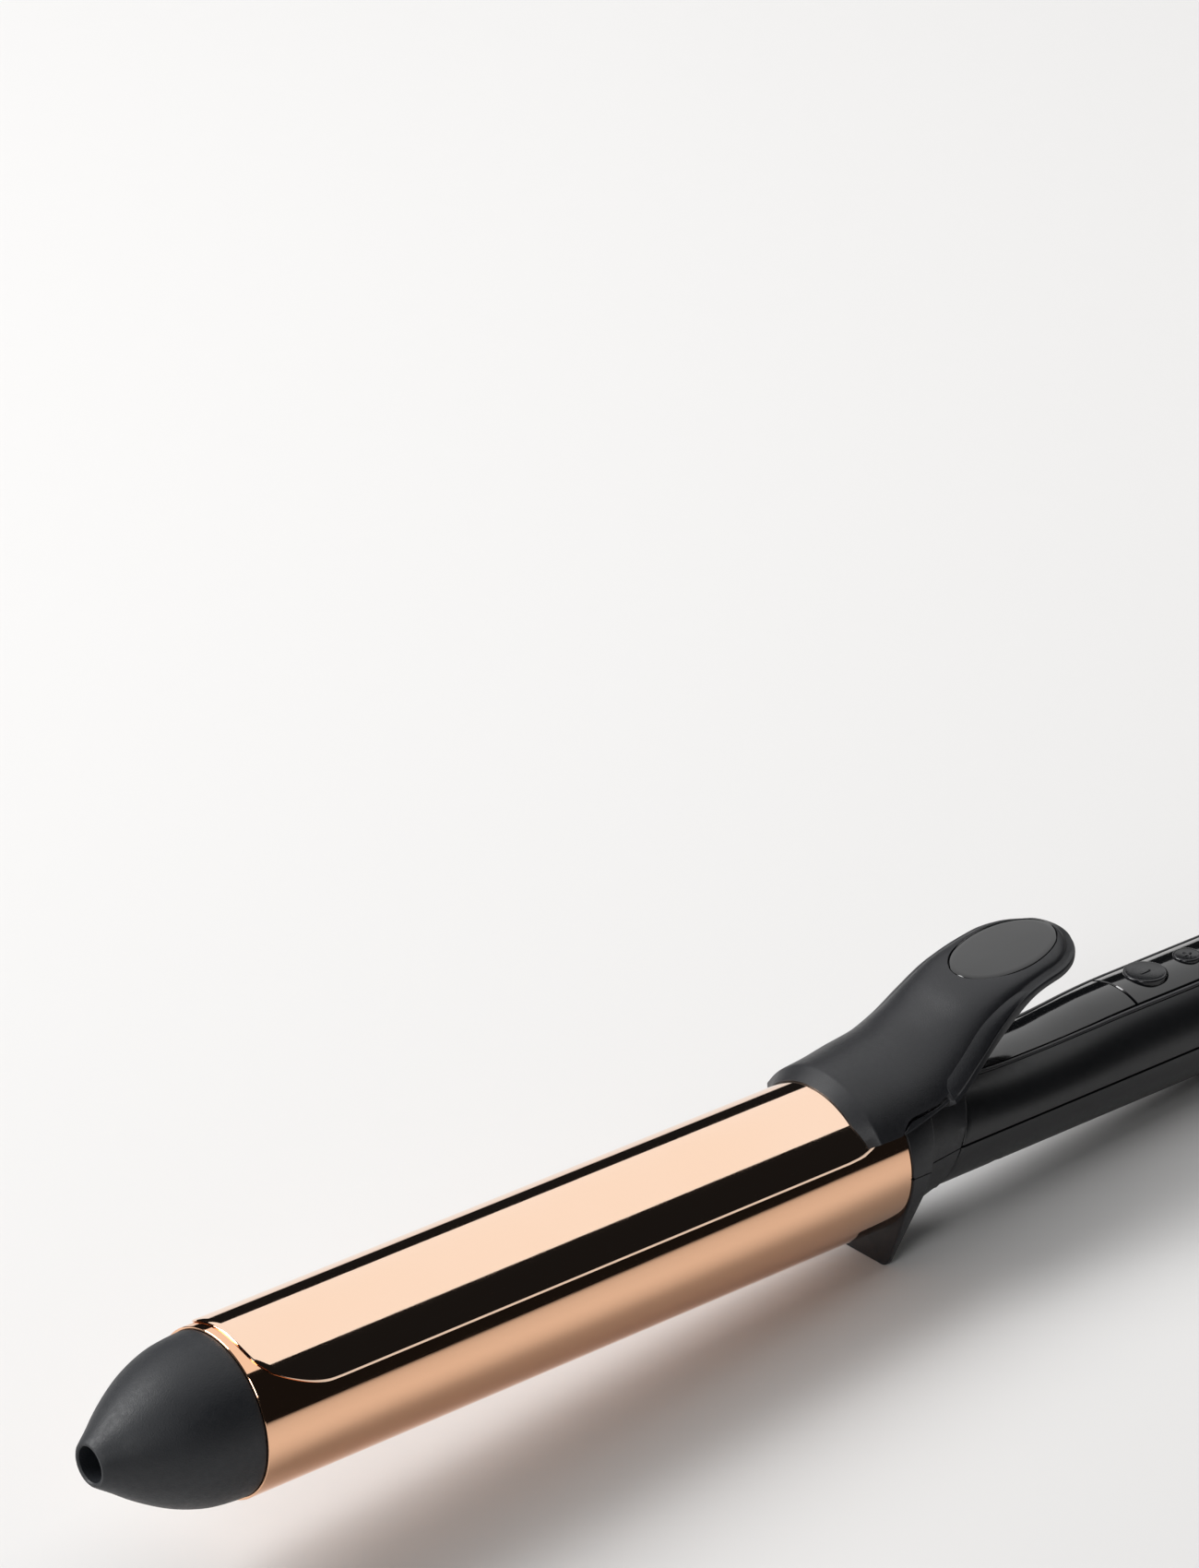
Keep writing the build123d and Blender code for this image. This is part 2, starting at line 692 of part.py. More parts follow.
def cord_swivel():
    """Turning cord inlet: tapered nozzle outside, flange behind the cap, and a stem for the slip rings."""
    with BuildPart() as swivel:
        with BuildSketch(Plane.XZ):
            with BuildLine():
                Polyline(
                    (RING_X[0] - 2, LEAD_BORE_R), (RING_X[0] - 2, STEM_R), (147.5, STEM_R), (147.5, 8.4),
                    (149.9, 8.4), (149.9, SWIVEL_R), (158.6, SWIVEL_R), (160.2, SWIVEL_R - 0.9),
                    (SWIVEL_END - 0.8, 5.3), (SWIVEL_END, 4.6), (SWIVEL_END, SWIVEL_BORE_R),
                    (SWIVEL_END - SWIVEL_BORE_L, SWIVEL_BORE_R), (SWIVEL_END - SWIVEL_BORE_L, LEAD_BORE_R),
                    close=True,
                )
            make_face()
        revolve(axis=Axis.X)
    return swivel


def slip_rings():
    """Two brass rings pressed on the swivel's stem."""
    with BuildPart() as rings:
        for x in RING_X:
            with BuildSketch(Plane.YZ.offset(x)):
                Circle(RING_R)
                Circle(STEM_R, mode=Mode.SUBTRACT)
            extrude(amount=2)
    return rings


def brush_contacts():
    """Brass blocks beside the slip rings that pass the mains to the board."""
    with BuildPart() as brushes:
        for x in RING_X:
            with Locations((x + 1, 0, -RING_R - 0.1)):
                Box(1.6, 3, 4.4, align=(Align.CENTER, Align.CENTER, Align.MAX))
    return brushes


def spoon_blank(half_w, front, rear):
    """Inside a piece being built: the rolled sheet under a plan outline with rounded ends."""
    with BuildSketch(Plane.YZ.offset(front)) as sheet:
        Circle(SPOON_OUT)
        Circle(SPOON_IN, mode=Mode.SUBTRACT)
    extrude(sheet.sketch, amount=rear - front)
    with BuildSketch(Plane.XY) as plan:
        with BuildLine():
            Spline(
                (front, 0), (front + 0.25, 7.5), (front + 2.7, 12.8), (front + 7.7, 15.5),
                (front + 15, half_w),
                tangents=((0, 1), (1, 0.1)),
            )
            Line((front + 15, half_w), (-16.5, half_w))
            ThreePointArc((-16.5, half_w), (-12.6, half_w - 0.35), (-9.5, half_w - 1.5))
            Polyline((-9.5, half_w - 1.5), (rear, half_w - 4), (rear, 0), (front, 0))
        make_face()
        mirror(about=Plane.XZ)
    extrude(plan.sketch, amount=30, mode=Mode.INTERSECT)


def rivet_base(y):
    """Height just above the barrel at which a rivet at y starts."""
    return sqrt(SPOON_IN**2 - (abs(y) + RIVET_R) ** 2) + 0.3


def rivet_seats():
    """Inside a piece being built: the blind holes that the rivets fill."""
    for x, y in RIVETS:
        with Locations((x, y, 8)):
            Cylinder(
                RIVET_R + 0.05, rivet_base(y) + RIVET_L + 0.1 - 8,
                align=(Align.CENTER, Align.CENTER, Align.MIN), mode=Mode.SUBTRACT,
            )


def clamp_spoon():
    """Rolled rose-gold sheet that lies along the top of the barrel."""
    with BuildPart() as spoon:
        spoon_blank(SPOON_HALF_W, SPOON_FRONT, SPOON_REAR)
        rivet_seats()
    return spoon


def spoon_rivets():
    """Flush rivets that hold the spoon to the lever's saddle."""
    with BuildPart() as rivets:
        for x, y in RIVETS:
            with Locations((x, y, rivet_base(y))):
                Cylinder(RIVET_R, RIVET_L, align=(Align.CENTER, Align.CENTER, Align.MIN))
        with BuildSketch(Plane.YZ.offset(-20)):
            Circle(SPOON_IN + 0.02)
        extrude(amount=20, mode=Mode.SUBTRACT)
    return rivets


def lever_loft(stations, inset, floor, ruled=False, mode=Mode.ADD):
    """Inside a piece being built: a loft through crowned sections of the lever."""
    sections = []
    for x, half_w, edge, crown, reach, (y, z) in stations:
        top = (0, crown - inset)
        level = (reach, crown - inset)
        side = (y - 0.85 * inset, z - 0.85 * inset)
        foot = (half_w - inset, edge + floor)
        with BuildSketch(Plane.YZ.offset(x)) as section:
            with BuildLine():
                Bezier(top, level, side, foot)
                Line(foot, (-foot[0], foot[1]))
                Bezier((-foot[0], foot[1]), (-side[0], side[1]), (-level[0], level[1]), top)
            make_face()
        sections.append(section.sketch)
    loft(sections, ruled=ruled, mode=mode)


def lever_body():
    """Inside a piece being built: the lever's whole outside, cut to fit the spoon, collar and neck."""
    lever_loft(LEVER, 0, 0)
    lever_loft([LEVER_LIP, LEVER[0]], 0, 0, ruled=True)
    with BuildSketch(Plane.XY) as plan:
        with BuildLine():
            Spline(*LIP_EDGE, tangents=((0, 1), (0.6, 1)))
            Polyline(
                LIP_EDGE[-1], (LIP_EDGE[-1][0], 30), (LEVER_END - LEVER_NOSE_R, 30),
                (LEVER_END - LEVER_NOSE_R, 0), LIP_EDGE[0],
            )
        make_face()
        mirror(about=Plane.XZ)
        with Locations((LEVER_END - LEVER_NOSE_R, 0)):
            Circle(LEVER_NOSE_R)
    extrude(plan.sketch, amount=60, mode=Mode.INTERSECT)
    with BuildSketch(Plane.YZ.offset(-20)) as saddle:
        Circle(SADDLE_R)
    extrude(saddle.sketch, amount=20 - 0.7, mode=Mode.SUBTRACT)
    with BuildSketch(Plane.YZ.offset(-0.8)) as skirt:
        Circle(SKIRT_R)
    extrude(skirt.sketch, amount=11.6, mode=Mode.SUBTRACT)


def joint_side(upper):
    """Inside a piece being built: keep what lies above or below the lever's joint line."""
    side = 1 if upper else -1
    line = [(x, z + side * 0.12) for x, z in LEVER_JOINT]
    with BuildSketch(Plane.XZ) as region:
        with BuildLine():
            Polyline((-30, line[0][1]), line[0])
            Spline(*line)
            Polyline(line[-1], (line[-1][0], side * 90), (-30, side * 90), (-30, line[0][1]))
        make_face()
    extrude(region.sketch, amount=40, both=True, mode=Mode.INTERSECT)


def hinge_hole():
    """Inside a piece being built: the running hole for the hinge pin."""
    with Locations((HINGE_X, 0, HINGE_Z)):
        Cylinder(PIN_R + RUN, PIN_L + 1, rotation=(90, 0, 0), mode=Mode.SUBTRACT)


def pad_plane(lift=0.0):
    """The tilted plane of the thumb inlay's face."""
    lean = sqrt(1 + PAD_SLOPE**2)
    return Plane(
        origin=(INLAY_X, 0, PAD_Z + lift), x_dir=(1 / lean, 0, PAD_SLOPE / lean),
        z_dir=(-PAD_SLOPE / lean, 0, 1 / lean),
    )


def lever_shell():
    """Upper shell of the thumb lever: saddle, waist, hinge lugs, and the pad with the inlay's pocket."""
    with BuildPart() as shell:
        lever_body()
        lever_loft([s for s in LEVER if 2 < s[0] < 34], LEVER_WALL, -8, mode=Mode.SUBTRACT)
        joint_side(True)
        with BuildSketch(pad_plane(-INLAY_T)):
            Ellipse(INLAY_A + 0.2, INLAY_B + 0.2)
        extrude(amount=12, mode=Mode.SUBTRACT)
        for side in (-1, 1):
            with BuildSketch(Plane.XZ.offset(side * 9.3)):
                with Locations((HINGE_X, HINGE_Z)):
                    Circle(LUG_R)
                with Locations((HINGE_X, HINGE_Z + LUG_ROOT / 2)):
                    Rectangle(2 * LUG_R, LUG_ROOT)
            extrude(amount=1.1, both=True)
        hinge_hole()
        rivet_seats()
        with BuildSketch(Plane.XY.offset(24)):
            with Locations(*LEVER_SCREWS):
                Circle(1.0)
        extrude(amount=9.4, mode=Mode.SUBTRACT)
    return shell


def lever_cover():
    """Lower cover of the lever: the rim under the joint line and the floor under the pad."""
    with BuildPart() as cover:
        lever_body()
        lever_loft([s for s in LEVER if 2 < s[0] < 26], LEVER_WALL, -8, mode=Mode.SUBTRACT)
        lever_loft([s for s in LEVER if 24 < s[0] < 42], LEVER_WALL, 1.6, mode=Mode.SUBTRACT)
        joint_side(False)
        with BuildSketch(Plane.XY):
            with Locations(*LEVER_SCREWS):
                Circle(1.1)
        extrude(amount=60, mode=Mode.SUBTRACT)
        with BuildSketch(Plane.XY):
            with Locations(*LEVER_SCREWS):
                Circle(2.3)
        extrude(amount=33.0, mode=Mode.SUBTRACT)
    return cover


def lever_screws():
    """Two screws that hold the lower cover to the pad."""
    with BuildPart() as screws:
        for x, y in LEVER_SCREWS:
            with Locations((x, y, 33.0)):
                Cylinder(0.95, 0.3, align=(Align.CENTER, Align.CENTER, Align.MIN))
                Cylinder(2.1, 1.2, align=(Align.CENTER, Align.CENTER, Align.MAX))
    return screws


def lever_inlay():
    """Glossy oval let into the pad."""
    with BuildPart() as inlay:
        with BuildSketch(pad_plane(-INLAY_T + 0.02)):
            Ellipse(INLAY_A, INLAY_B)
        extrude(amount=INLAY_T)
        fillet(inlay.faces().sort_by(Axis.Z)[-1].edges(), 0.25)
    return inlay


def hinge_bracket():
    """Steel bracket on the neck's flat, with an ear at each side for the hinge pin."""
    with BuildPart() as bracket:
        with BuildSketch(Plane.XY.offset(SEAT_Z)):
            with Locations((HINGE_X + 0.7, 0)):
                Rectangle(7.0, 15.6)
        extrude(amount=1.0)
        for side in (-1, 1):
            with BuildSketch(Plane.XZ.offset(side * 6.8)):
                with Locations((HINGE_X, HINGE_Z)):
                    Circle(EAR_R)
                with Locations((HINGE_X, (HINGE_Z + SEAT_Z) / 2)):
                    Rectangle(2 * EAR_R, HINGE_Z - SEAT_Z)
            extrude(amount=0.6, both=True)
        with Locations((HINGE_X, 0, HINGE_Z)):
            Cylinder(PIN_R, 40, rotation=(90, 0, 0), mode=Mode.SUBTRACT)
    return bracket


def hinge_pin():
    """Steel pin through the bracket's ears and the lever's lugs."""
    with BuildPart() as pin:
        with Locations((HINGE_X, 0, HINGE_Z)):
            Cylinder(PIN_R, PIN_L, rotation=(90, 0, 0))
        fillet(pin.edges().filter_by(GeomType.CIRCLE), 0.3)
    return pin


def clamp_spring():
    """Coil spring between the neck and the lever's roof, which closes the clamp."""
    with BuildPart() as spring:
        with BuildLine():
            wire = Helix(pitch=1.9, height=9.5, radius=SPRING_R, center=(SPRING_X, 0, 16.0))
        with BuildSketch(Plane(origin=wire @ 0, z_dir=wire % 0)):
            Circle(0.3)
        sweep(is_frenet=True)
    return spring


BUILT = {
    "barrel_tube": barrel_tube(),
    "cool_tip": cool_tip(),
    "tip_screw": tip_screw(),
    "tip_bracket": tip_bracket(),
    "heat_spreader_upper": heat_spreader(True),
    "heat_spreader_lower": heat_spreader(False),
    "heater_plate": heater_plate(),
    "spreader_springs": spreader_springs(),
    "thermal_fuse": thermal_fuse(),
    "thermistor": thermistor(),
    "rear_insulator": rear_insulator(),
    "heater_leads": heater_leads(),
    "collar_upper": collar_half(True),
    "collar_lower": collar_half(False),
    "neck_upper": neck_half(True),
    "neck_lower": neck_half(False),
    "neck_screws": neck_screws(),
    "handle_shell_upper": handle_shell_upper(),
    "handle_shell_lower": handle_shell_lower(),
    "handle_screws": handle_screws(),
    "trim_frame": trim_frame(),
    "top_panel": top_panel(),
    "control_panel": control_panel(),
    "indicator_lenses": indicator_lenses(),
    "indicator_lamps": indicator_lamps(),
    "circuit_board": circuit_board(),
    "tact_switches": tact_switches(),
    "power_triac": power_triac(),
    "mains_capacitor": mains_capacitor(),
    "rear_cap": rear_cap(),
    "swivel_retainer": swivel_retainer(),
    "brush_contacts": brush_contacts(),
    "hinge_bracket": hinge_bracket(),
    "hinge_pin": hinge_pin(),
    "clamp_spring": clamp_spring(),
    "clamp_spoon": clamp_spoon(),
    "spoon_rivets": spoon_rivets(),
    "lever_shell": lever_shell(),
    "lever_cover": lever_cover(),
    "lever_inlay": lever_inlay(),
    "lever_screws": lever_screws(),
    "power_button": button(POWER_X, POWER_R),
    "temp_up_button": button(TEMP_X[0], TEMP_R),
    "temp_down_button": button(TEMP_X[1], TEMP_R),
    "cord_swivel": cord_swivel(),
    "slip_rings": slip_rings(),
}


def write_pieces(built):
    """Lay the pieces in the resting pose, centred over the origin, and write one STEP file for each."""
    tilt = degrees(atan2(FOOT_DEPTH - HANDLE_HALF_H, TAIL_X))
    for piece in built.values():
        piece.part.locate(Location((0, 0, 0), (0, tilt, 0)))
    boxes = [piece.part.bounding_box() for piece in built.values()]
    middle = (min(b.min.X for b in boxes) + max(b.max.X for b in boxes)) / 2
    floor = min(b.min.Z for b in boxes)
    rest = Location((-middle, 0, -floor), (0, tilt, 0))
    print("tilt", tilt, "shift", -middle, -floor)
    os.makedirs("parts", exist_ok=True)
    for node, piece in built.items():
        piece.part.label = node
        piece.part.locate(rest)
        export_step(piece.part, f"parts/{node}.step")


write_pieces(BUILT)
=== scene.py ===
import json
import math

import bmesh
import bpy
import numpy as np
from mathutils import Matrix, Vector


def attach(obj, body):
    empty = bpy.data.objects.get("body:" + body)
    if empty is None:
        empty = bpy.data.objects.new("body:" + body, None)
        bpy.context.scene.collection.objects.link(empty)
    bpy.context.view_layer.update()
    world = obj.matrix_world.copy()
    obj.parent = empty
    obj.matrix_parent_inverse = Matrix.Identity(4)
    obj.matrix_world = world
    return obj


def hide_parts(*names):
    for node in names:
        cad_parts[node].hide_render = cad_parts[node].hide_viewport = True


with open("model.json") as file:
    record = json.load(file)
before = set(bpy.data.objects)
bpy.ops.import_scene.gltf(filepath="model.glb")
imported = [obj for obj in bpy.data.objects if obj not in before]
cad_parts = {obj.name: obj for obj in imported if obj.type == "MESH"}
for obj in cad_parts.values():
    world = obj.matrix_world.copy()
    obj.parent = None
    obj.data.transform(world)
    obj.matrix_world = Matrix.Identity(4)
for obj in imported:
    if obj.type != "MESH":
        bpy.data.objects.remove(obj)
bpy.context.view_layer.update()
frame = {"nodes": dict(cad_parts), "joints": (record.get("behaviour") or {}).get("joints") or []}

# ----------------------------------------
# Where the iron lies. Its pieces are drawn in millimetres in the iron's own frame: the barrel's
# axis is x with its rear ring at 0 and its tip towards -x, the clamp is on top, and the handle is
# towards +x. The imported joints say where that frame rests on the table.
# ----------------------------------------
MM = 0.001
HINGE = (13.0, 19.8)            # the clamp's hinge axis in the iron's frame: x, z
joints = {joint["name"]: joint for joint in frame["joints"]}
up_axis = -Vector(joints["power_press"]["axis"]).normalized()
cross_axis = Vector((0, 1, 0))
long_axis = cross_axis.cross(up_axis)
TURN = Matrix((long_axis, cross_axis, up_axis)).transposed().to_4x4()
hinge_place = Vector(joints["clamp_hinge"]["pos_m"])
start = hinge_place - long_axis * (HINGE[0] * MM) - up_axis * (HINGE[1] * MM)
IRON = Matrix.Translation(start) @ TURN @ Matrix.Scale(MM, 4)

# ----------------------------------------
# Camera: a long lens at the height of a standing viewer's hand, looking down along the barrel.
# ----------------------------------------
LENS = 147.24
VIEW_TURN = math.radians(40.0)
VIEW_RISE = math.radians(25.38)
VIEW_FAR, VIEW_LEFT, VIEW_UP = 1429.0, 56.93, 80.94
right = Vector((math.cos(VIEW_TURN), -math.sin(VIEW_TURN), 0))
back = Vector((-math.sin(VIEW_TURN) * math.cos(VIEW_RISE), -math.cos(VIEW_TURN) * math.cos(VIEW_RISE),
               math.sin(VIEW_RISE)))
above = back.cross(right)
eye = back * VIEW_FAR + above * VIEW_UP - right * VIEW_LEFT
lens_data = bpy.data.cameras.new("studio_camera")
lens_data.lens = LENS
lens_data.sensor_width = 36.0
lens_data.clip_end = 50.0
camera = bpy.data.objects.new("studio_camera", lens_data)
bpy.context.scene.collection.objects.link(camera)
camera_turn = TURN @ Matrix((right, above, back)).transposed().to_4x4()
camera.matrix_world = Matrix.Translation(IRON @ eye) @ camera_turn
bpy.context.scene.camera = camera


# ----------------------------------------
# Table and studio light: a pale painted board, a wide ceiling softbox, and a dim room round it,
# so that polished metal shows one pale band, the dark room and the table's glow.
# ----------------------------------------
def linear(code):
    """An sRGB hex colour as linear red, green, blue and alpha."""
    parts = [int(code[i:i + 2], 16) / 255 for i in (1, 3, 5)]
    return [p / 12.92 if p <= 0.04045 else ((p + 0.055) / 1.055) ** 2.4 for p in parts] + [1.0]


def add(tree, kind, links=None, inputs=None, **settings):
    """Adds a node with its settings, its constant inputs and the links that come into it."""
    node = tree.nodes.new(kind)
    for key, value in settings.items():
        setattr(node, key, value)
    for key, value in (inputs or {}).items():
        node.inputs[key].default_value = value
    for key, source in (links or {}).items():
        tree.links.new(source, node.inputs[key])
    return node


def new_material(name):
    """An empty material with its shader and the object's coordinates in metres."""
    material = bpy.data.materials.new(name)
    material.use_nodes = True
    tree = material.node_tree
    tree.nodes.clear()
    shader = add(tree, "ShaderNodeBsdfPrincipled")
    add(tree, "ShaderNodeOutputMaterial", links={"Surface": shader.outputs["BSDF"]})
    place = add(tree, "ShaderNodeTexCoord").outputs["Object"]
    return material, tree, shader, place


def speckle(tree, place, size_mm, detail, low, high):
    """Noise whose grains are size_mm across, spread between two values; gives its output socket."""
    grain = add(tree, "ShaderNodeTexNoise", links={"Vector": place},
                inputs={"Scale": 1 / (size_mm * MM), "Detail": detail, "Roughness": 0.6})
    return add(tree, "ShaderNodeMapRange", links={"Value": grain.outputs["Fac"]},
               inputs={"From Min": 0.3, "From Max": 0.7, "To Min": low, "To Max": high}).outputs["Result"]


def two_tone(tree, shader, place, scale, detail, dark, light):
    """Cloudy noise between two sRGB colours as the base colour."""
    tone = add(tree, "ShaderNodeTexNoise", links={"Vector": place},
               inputs={"Scale": scale, "Detail": detail})
    colour = add(tree, "ShaderNodeMix", data_type="RGBA", links={"Factor": tone.outputs["Fac"]})
    colour.inputs["A"].default_value = linear(dark)
    colour.inputs["B"].default_value = linear(light)
    tree.links.new(colour.outputs["Result"], shader.inputs["Base Color"])


def relief_of(tree, shader, height, strength, distance):
    """A bump of a height pattern on the surface."""
    bump = add(tree, "ShaderNodeBump", links={"Height": height},
               inputs={"Strength": strength, "Distance": distance})
    tree.links.new(bump.outputs["Normal"], shader.inputs["Normal"])


def painted_board():
    """Sprayed matte board: a faint orange-peel and hardly any shine."""
    material, tree, shader, place = new_material("painted_board_matte")
    shader.inputs["Base Color"].default_value = linear("#dfdedd")
    shader.inputs["Specular IOR Level"].default_value = 0.15
    tree.links.new(speckle(tree, place, 9.0, 2.0, 0.62, 0.72), shader.inputs["Roughness"])
    return material


def lamp(name, at, aim, size, power, colour="#ffffff"):
    """A rectangular softbox at a place in metres, facing a point."""
    data = bpy.data.lights.new(name, "AREA")
    data.shape = "RECTANGLE"
    data.size, data.size_y = size
    data.energy = power
    data.color = linear(colour)[:3]
    box = bpy.data.objects.new(name, data)
    bpy.context.scene.collection.objects.link(box)
    way = Vector(aim) - Vector(at)
    box.matrix_world = Matrix.Translation(at) @ way.to_track_quat("-Z", "Y").to_matrix().to_4x4()
    return box


FLOOR_REACH = 4.0
floor_mesh = bpy.data.meshes.new("table_board")
corners = [(-FLOOR_REACH, -FLOOR_REACH), (FLOOR_REACH, -FLOOR_REACH), (FLOOR_REACH, FLOOR_REACH),
           (-FLOOR_REACH, FLOOR_REACH)]
floor_mesh.from_pydata([(x, y, 0) for x, y in corners], [], [(0, 1, 2, 3)])
floor = bpy.data.objects.new("table_board", floor_mesh)
bpy.context.scene.collection.objects.link(floor)
floor_mesh.materials.append(painted_board())

lamp("ceiling_softbox", (0.9, 0.8, 1.05), (0.9, 0.8, 0), (2.4, 2.6), 20)
lamp("back_softbox", (-1.3, 1.3, 1.7), (0, 0, 0), (1.3, 1.3), 62)
lamp("tip_softbox", (-1.9, -0.9, 1.2), (-0.1, 0, 0), (0.8, 0.8), 14)
room = bpy.data.worlds.new("dim_room")
room.use_nodes = True
room.node_tree.nodes["Background"].inputs["Color"].default_value = linear("#e6e8ee")
room.node_tree.nodes["Background"].inputs["Strength"].default_value = 0.012
bpy.context.scene.world = room
bpy.context.scene.view_settings.view_transform = "Standard"

# ----------------------------------------
# Barrel: a drawn aluminium tube, plated rose gold and polished, with both ends lightly rolled.
# It slides over the collar's spigot and takes the cool tip's spigot in front.
# ----------------------------------------
BARREL_R, BARREL_L, BARREL_WALL = 19.0, 178.5, 0.8
ROLL = 0.3
ROUND_STEPS = 192


def rounded(points, radius, steps=3):
    """A closed outline with each corner turned into a short curve."""
    points = [np.array(p, float) for p in points]
    out = []
    for before, here, after in zip(points[-1:] + points[:-1], points, points[1:] + points[:1]):
        into, away = before - here, after - here
        reach = min(radius, 0.45 * np.linalg.norm(into), 0.45 * np.linalg.norm(away))
        a = here + into / np.linalg.norm(into) * reach
        b = here + away / np.linalg.norm(away) * reach
        for t in np.linspace(0, 1, steps + 1):
            out.append((1 - t) ** 2 * a + 2 * t * (1 - t) * here + t**2 * b)
    return np.array(out)


def shade(piece, angle=32.0):
    """Smooth shading with the real corners kept sharp."""
    piece.data.shade_smooth()
    piece.data.set_sharp_from_angle(angle=math.radians(angle))
    return piece


def circle(steps):
    """Evenly spaced angles once round."""
    return np.linspace(0, 2 * math.pi, steps, endpoint=False)


def piece_of(name, shape, place, angle=32.0):
    """An object made from a finished bmesh and laid in its place."""
    mesh = bpy.data.meshes.new(name)
    shape.to_mesh(mesh)
    shape.free()
    mesh.transform(place)
    piece = bpy.data.objects.new(name, mesh)
    bpy.context.scene.collection.objects.link(piece)
    return shade(piece, angle)


def skin(name, rings, loop=False, caps=True, place=IRON):
    """A closed mesh over rings of points in the iron's frame, laid where the iron rests."""
    rings = np.asarray(rings, float)
    count, around = rings.shape[:2]
    shape = bmesh.new()
    points = [[shape.verts.new(p) for p in ring] for ring in rings]
    for i in range(count if loop else count - 1):
        one, two = points[i], points[(i + 1) % count]
        for j in range(around):
            k = (j + 1) % around
            shape.faces.new((one[j], one[k], two[k], two[j]))
    if caps and not loop:
        shape.faces.new(points[0])
        shape.faces.new(points[-1])
    bmesh.ops.remove_doubles(shape, verts=shape.verts, dist=1e-3)
    bmesh.ops.dissolve_degenerate(shape, edges=shape.edges, dist=1e-4)
    bmesh.ops.delete(shape, geom=[edge for edge in shape.edges if not edge.link_faces], context="EDGES")
    bmesh.ops.recalc_face_normals(shape, faces=shape.faces)
    if shape.calc_volume(signed=True) < 0:
        bmesh.ops.reverse_faces(shape, faces=shape.faces)
    return piece_of(name, shape, place)


def turned(name, profile, steps=ROUND_STEPS):
    """A closed (x, radius) profile turned round the barrel's axis."""
    turn = circle(steps)
    rings = [[(x, r * math.cos(a), r * math.sin(a)) for x, r in profile] for a in turn]
    return skin(name, rings, loop=True)


def fit(piece, body, slot, material, *nodes):
    """Gives a finished piece its material and its body, and hides the nodes that it stands for; the slot is
    not used.
    """
    piece.data.materials.clear()
    piece.data.materials.append(material)
    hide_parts(*nodes)
    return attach(piece, body)


def rose_gold_polished(name, warm, pale):
    """Rose-gold plating over polished aluminium: a warm mirror, softened by fine buffing along x."""
    material, tree, shader, place = new_material(name)
    drawn = add(tree, "ShaderNodeMapping", links={"Vector": place}, inputs={"Scale": (0.02, 1, 1)})
    two_tone(tree, shader, place, 30.0, 2.0, warm, pale)
    shader.inputs["Metallic"].default_value = 1.0
    shine = speckle(tree, drawn.outputs["Vector"], 0.5, 3.0, 0.035, 0.075)
    tree.links.new(shine, shader.inputs["Roughness"])
    buff = speckle(tree, drawn.outputs["Vector"], 0.35, 2.0, 0.0, 1.0)
    relief_of(tree, shader, buff, 0.02, 0.00002)
    return material


rose_gold = rose_gold_polished("rose_gold_plated_aluminium_polished", "#f3bf9a", "#f4c3a0")
tube_edge = [(-BARREL_L, BARREL_R - BARREL_WALL), (-BARREL_L, BARREL_R),
             (0, BARREL_R), (0, BARREL_R - BARREL_WALL)]
barrel = turned("barrel", rounded(tube_edge, ROLL))
fit(barrel, "iron_body", "rose_gold_plate", rose_gold, "barrel_tube")

# ----------------------------------------
# Cool tip: a moulded heat-proof bullet that stays cool to the fingers. A deep hole in its nose
# holds the screw that draws it into the barrel's mouth.
# ----------------------------------------
TIP_BASE = -BARREL_L - 0.1
TIP_PROFILE = [(0, 18.45), (4, 18.2), (8, 17.7), (12, 16.6), (16, 15.0), (20, 12.85), (24, 10.3), (28, 7.35),
               (30.4, 5.7), (31.25, 5.1)]
TIP_L, NOSE_R, NOSE_HOLE_R, NOSE_HOLE_DEPTH = 31.5, 4.75, 4.0, 20.0
PLUG_R, PLUG_L = BARREL_R - BARREL_WALL - 0.1, 6.0


def glide(xs, ys, x):
    """The smooth curve through stations xs with values ys, read at x."""
    xs, ys = np.asarray(xs, float), np.asarray(ys, float)
    slope = np.gradient(ys, xs, axis=0)
    x = min(max(x, xs[0]), xs[-1])
    i = min(int(np.searchsorted(xs, x, side="right")) - 1, len(xs) - 2)
    span = xs[i + 1] - xs[i]
    t = (x - xs[i]) / span
    return ((2 * t**3 - 3 * t**2 + 1) * ys[i] + (t**3 - 2 * t**2 + t) * span * slope[i]
            + (3 * t**2 - 2 * t**3) * ys[i + 1] + (t**3 - t**2) * span * slope[i + 1])


def moulded(name, dark, light, grain_mm, rough, relief):
    """Moulded resin: a fine spark-eroded grain, with slight changes of tone and shine across it."""
    material, tree, shader, place = new_material(name)
    two_tone(tree, shader, place, 90.0, 4.0, dark, light)
    tree.links.new(speckle(tree, place, 4 * grain_mm, 3.0, rough[0], rough[1]), shader.inputs["Roughness"])
    grain = speckle(tree, place, grain_mm, 2.0, 0.0, 1.0)
    relief_of(tree, shader, grain, relief, 0.00005)
    return material


# The tip is glass-filled resin from an etched mould: blue-black, dull, and lightly pebbled.
tip_resin = moulded("pps_resin_etched", "#15171b", "#1d2025", 0.35, (0.46, 0.58), 0.55)
offs = np.linspace(0, TIP_PROFILE[-1][0], 44)
outer = [(TIP_BASE - s, float(glide(*zip(*TIP_PROFILE), s))) for s in offs]
nose = TIP_BASE - TIP_L
inside = [(nose, NOSE_R + 0.05), (nose, NOSE_HOLE_R + 0.3), (nose + 0.3, NOSE_HOLE_R),
          (nose + NOSE_HOLE_DEPTH, NOSE_HOLE_R - 0.3), (nose + NOSE_HOLE_DEPTH, 0.0)]
rear_side = [(TIP_BASE + PLUG_L, 0.0), (TIP_BASE + PLUG_L, PLUG_R - 0.5), (TIP_BASE + PLUG_L - 0.5, PLUG_R),
             (TIP_BASE + 0.05, PLUG_R), (TIP_BASE, PLUG_R + 0.05)]
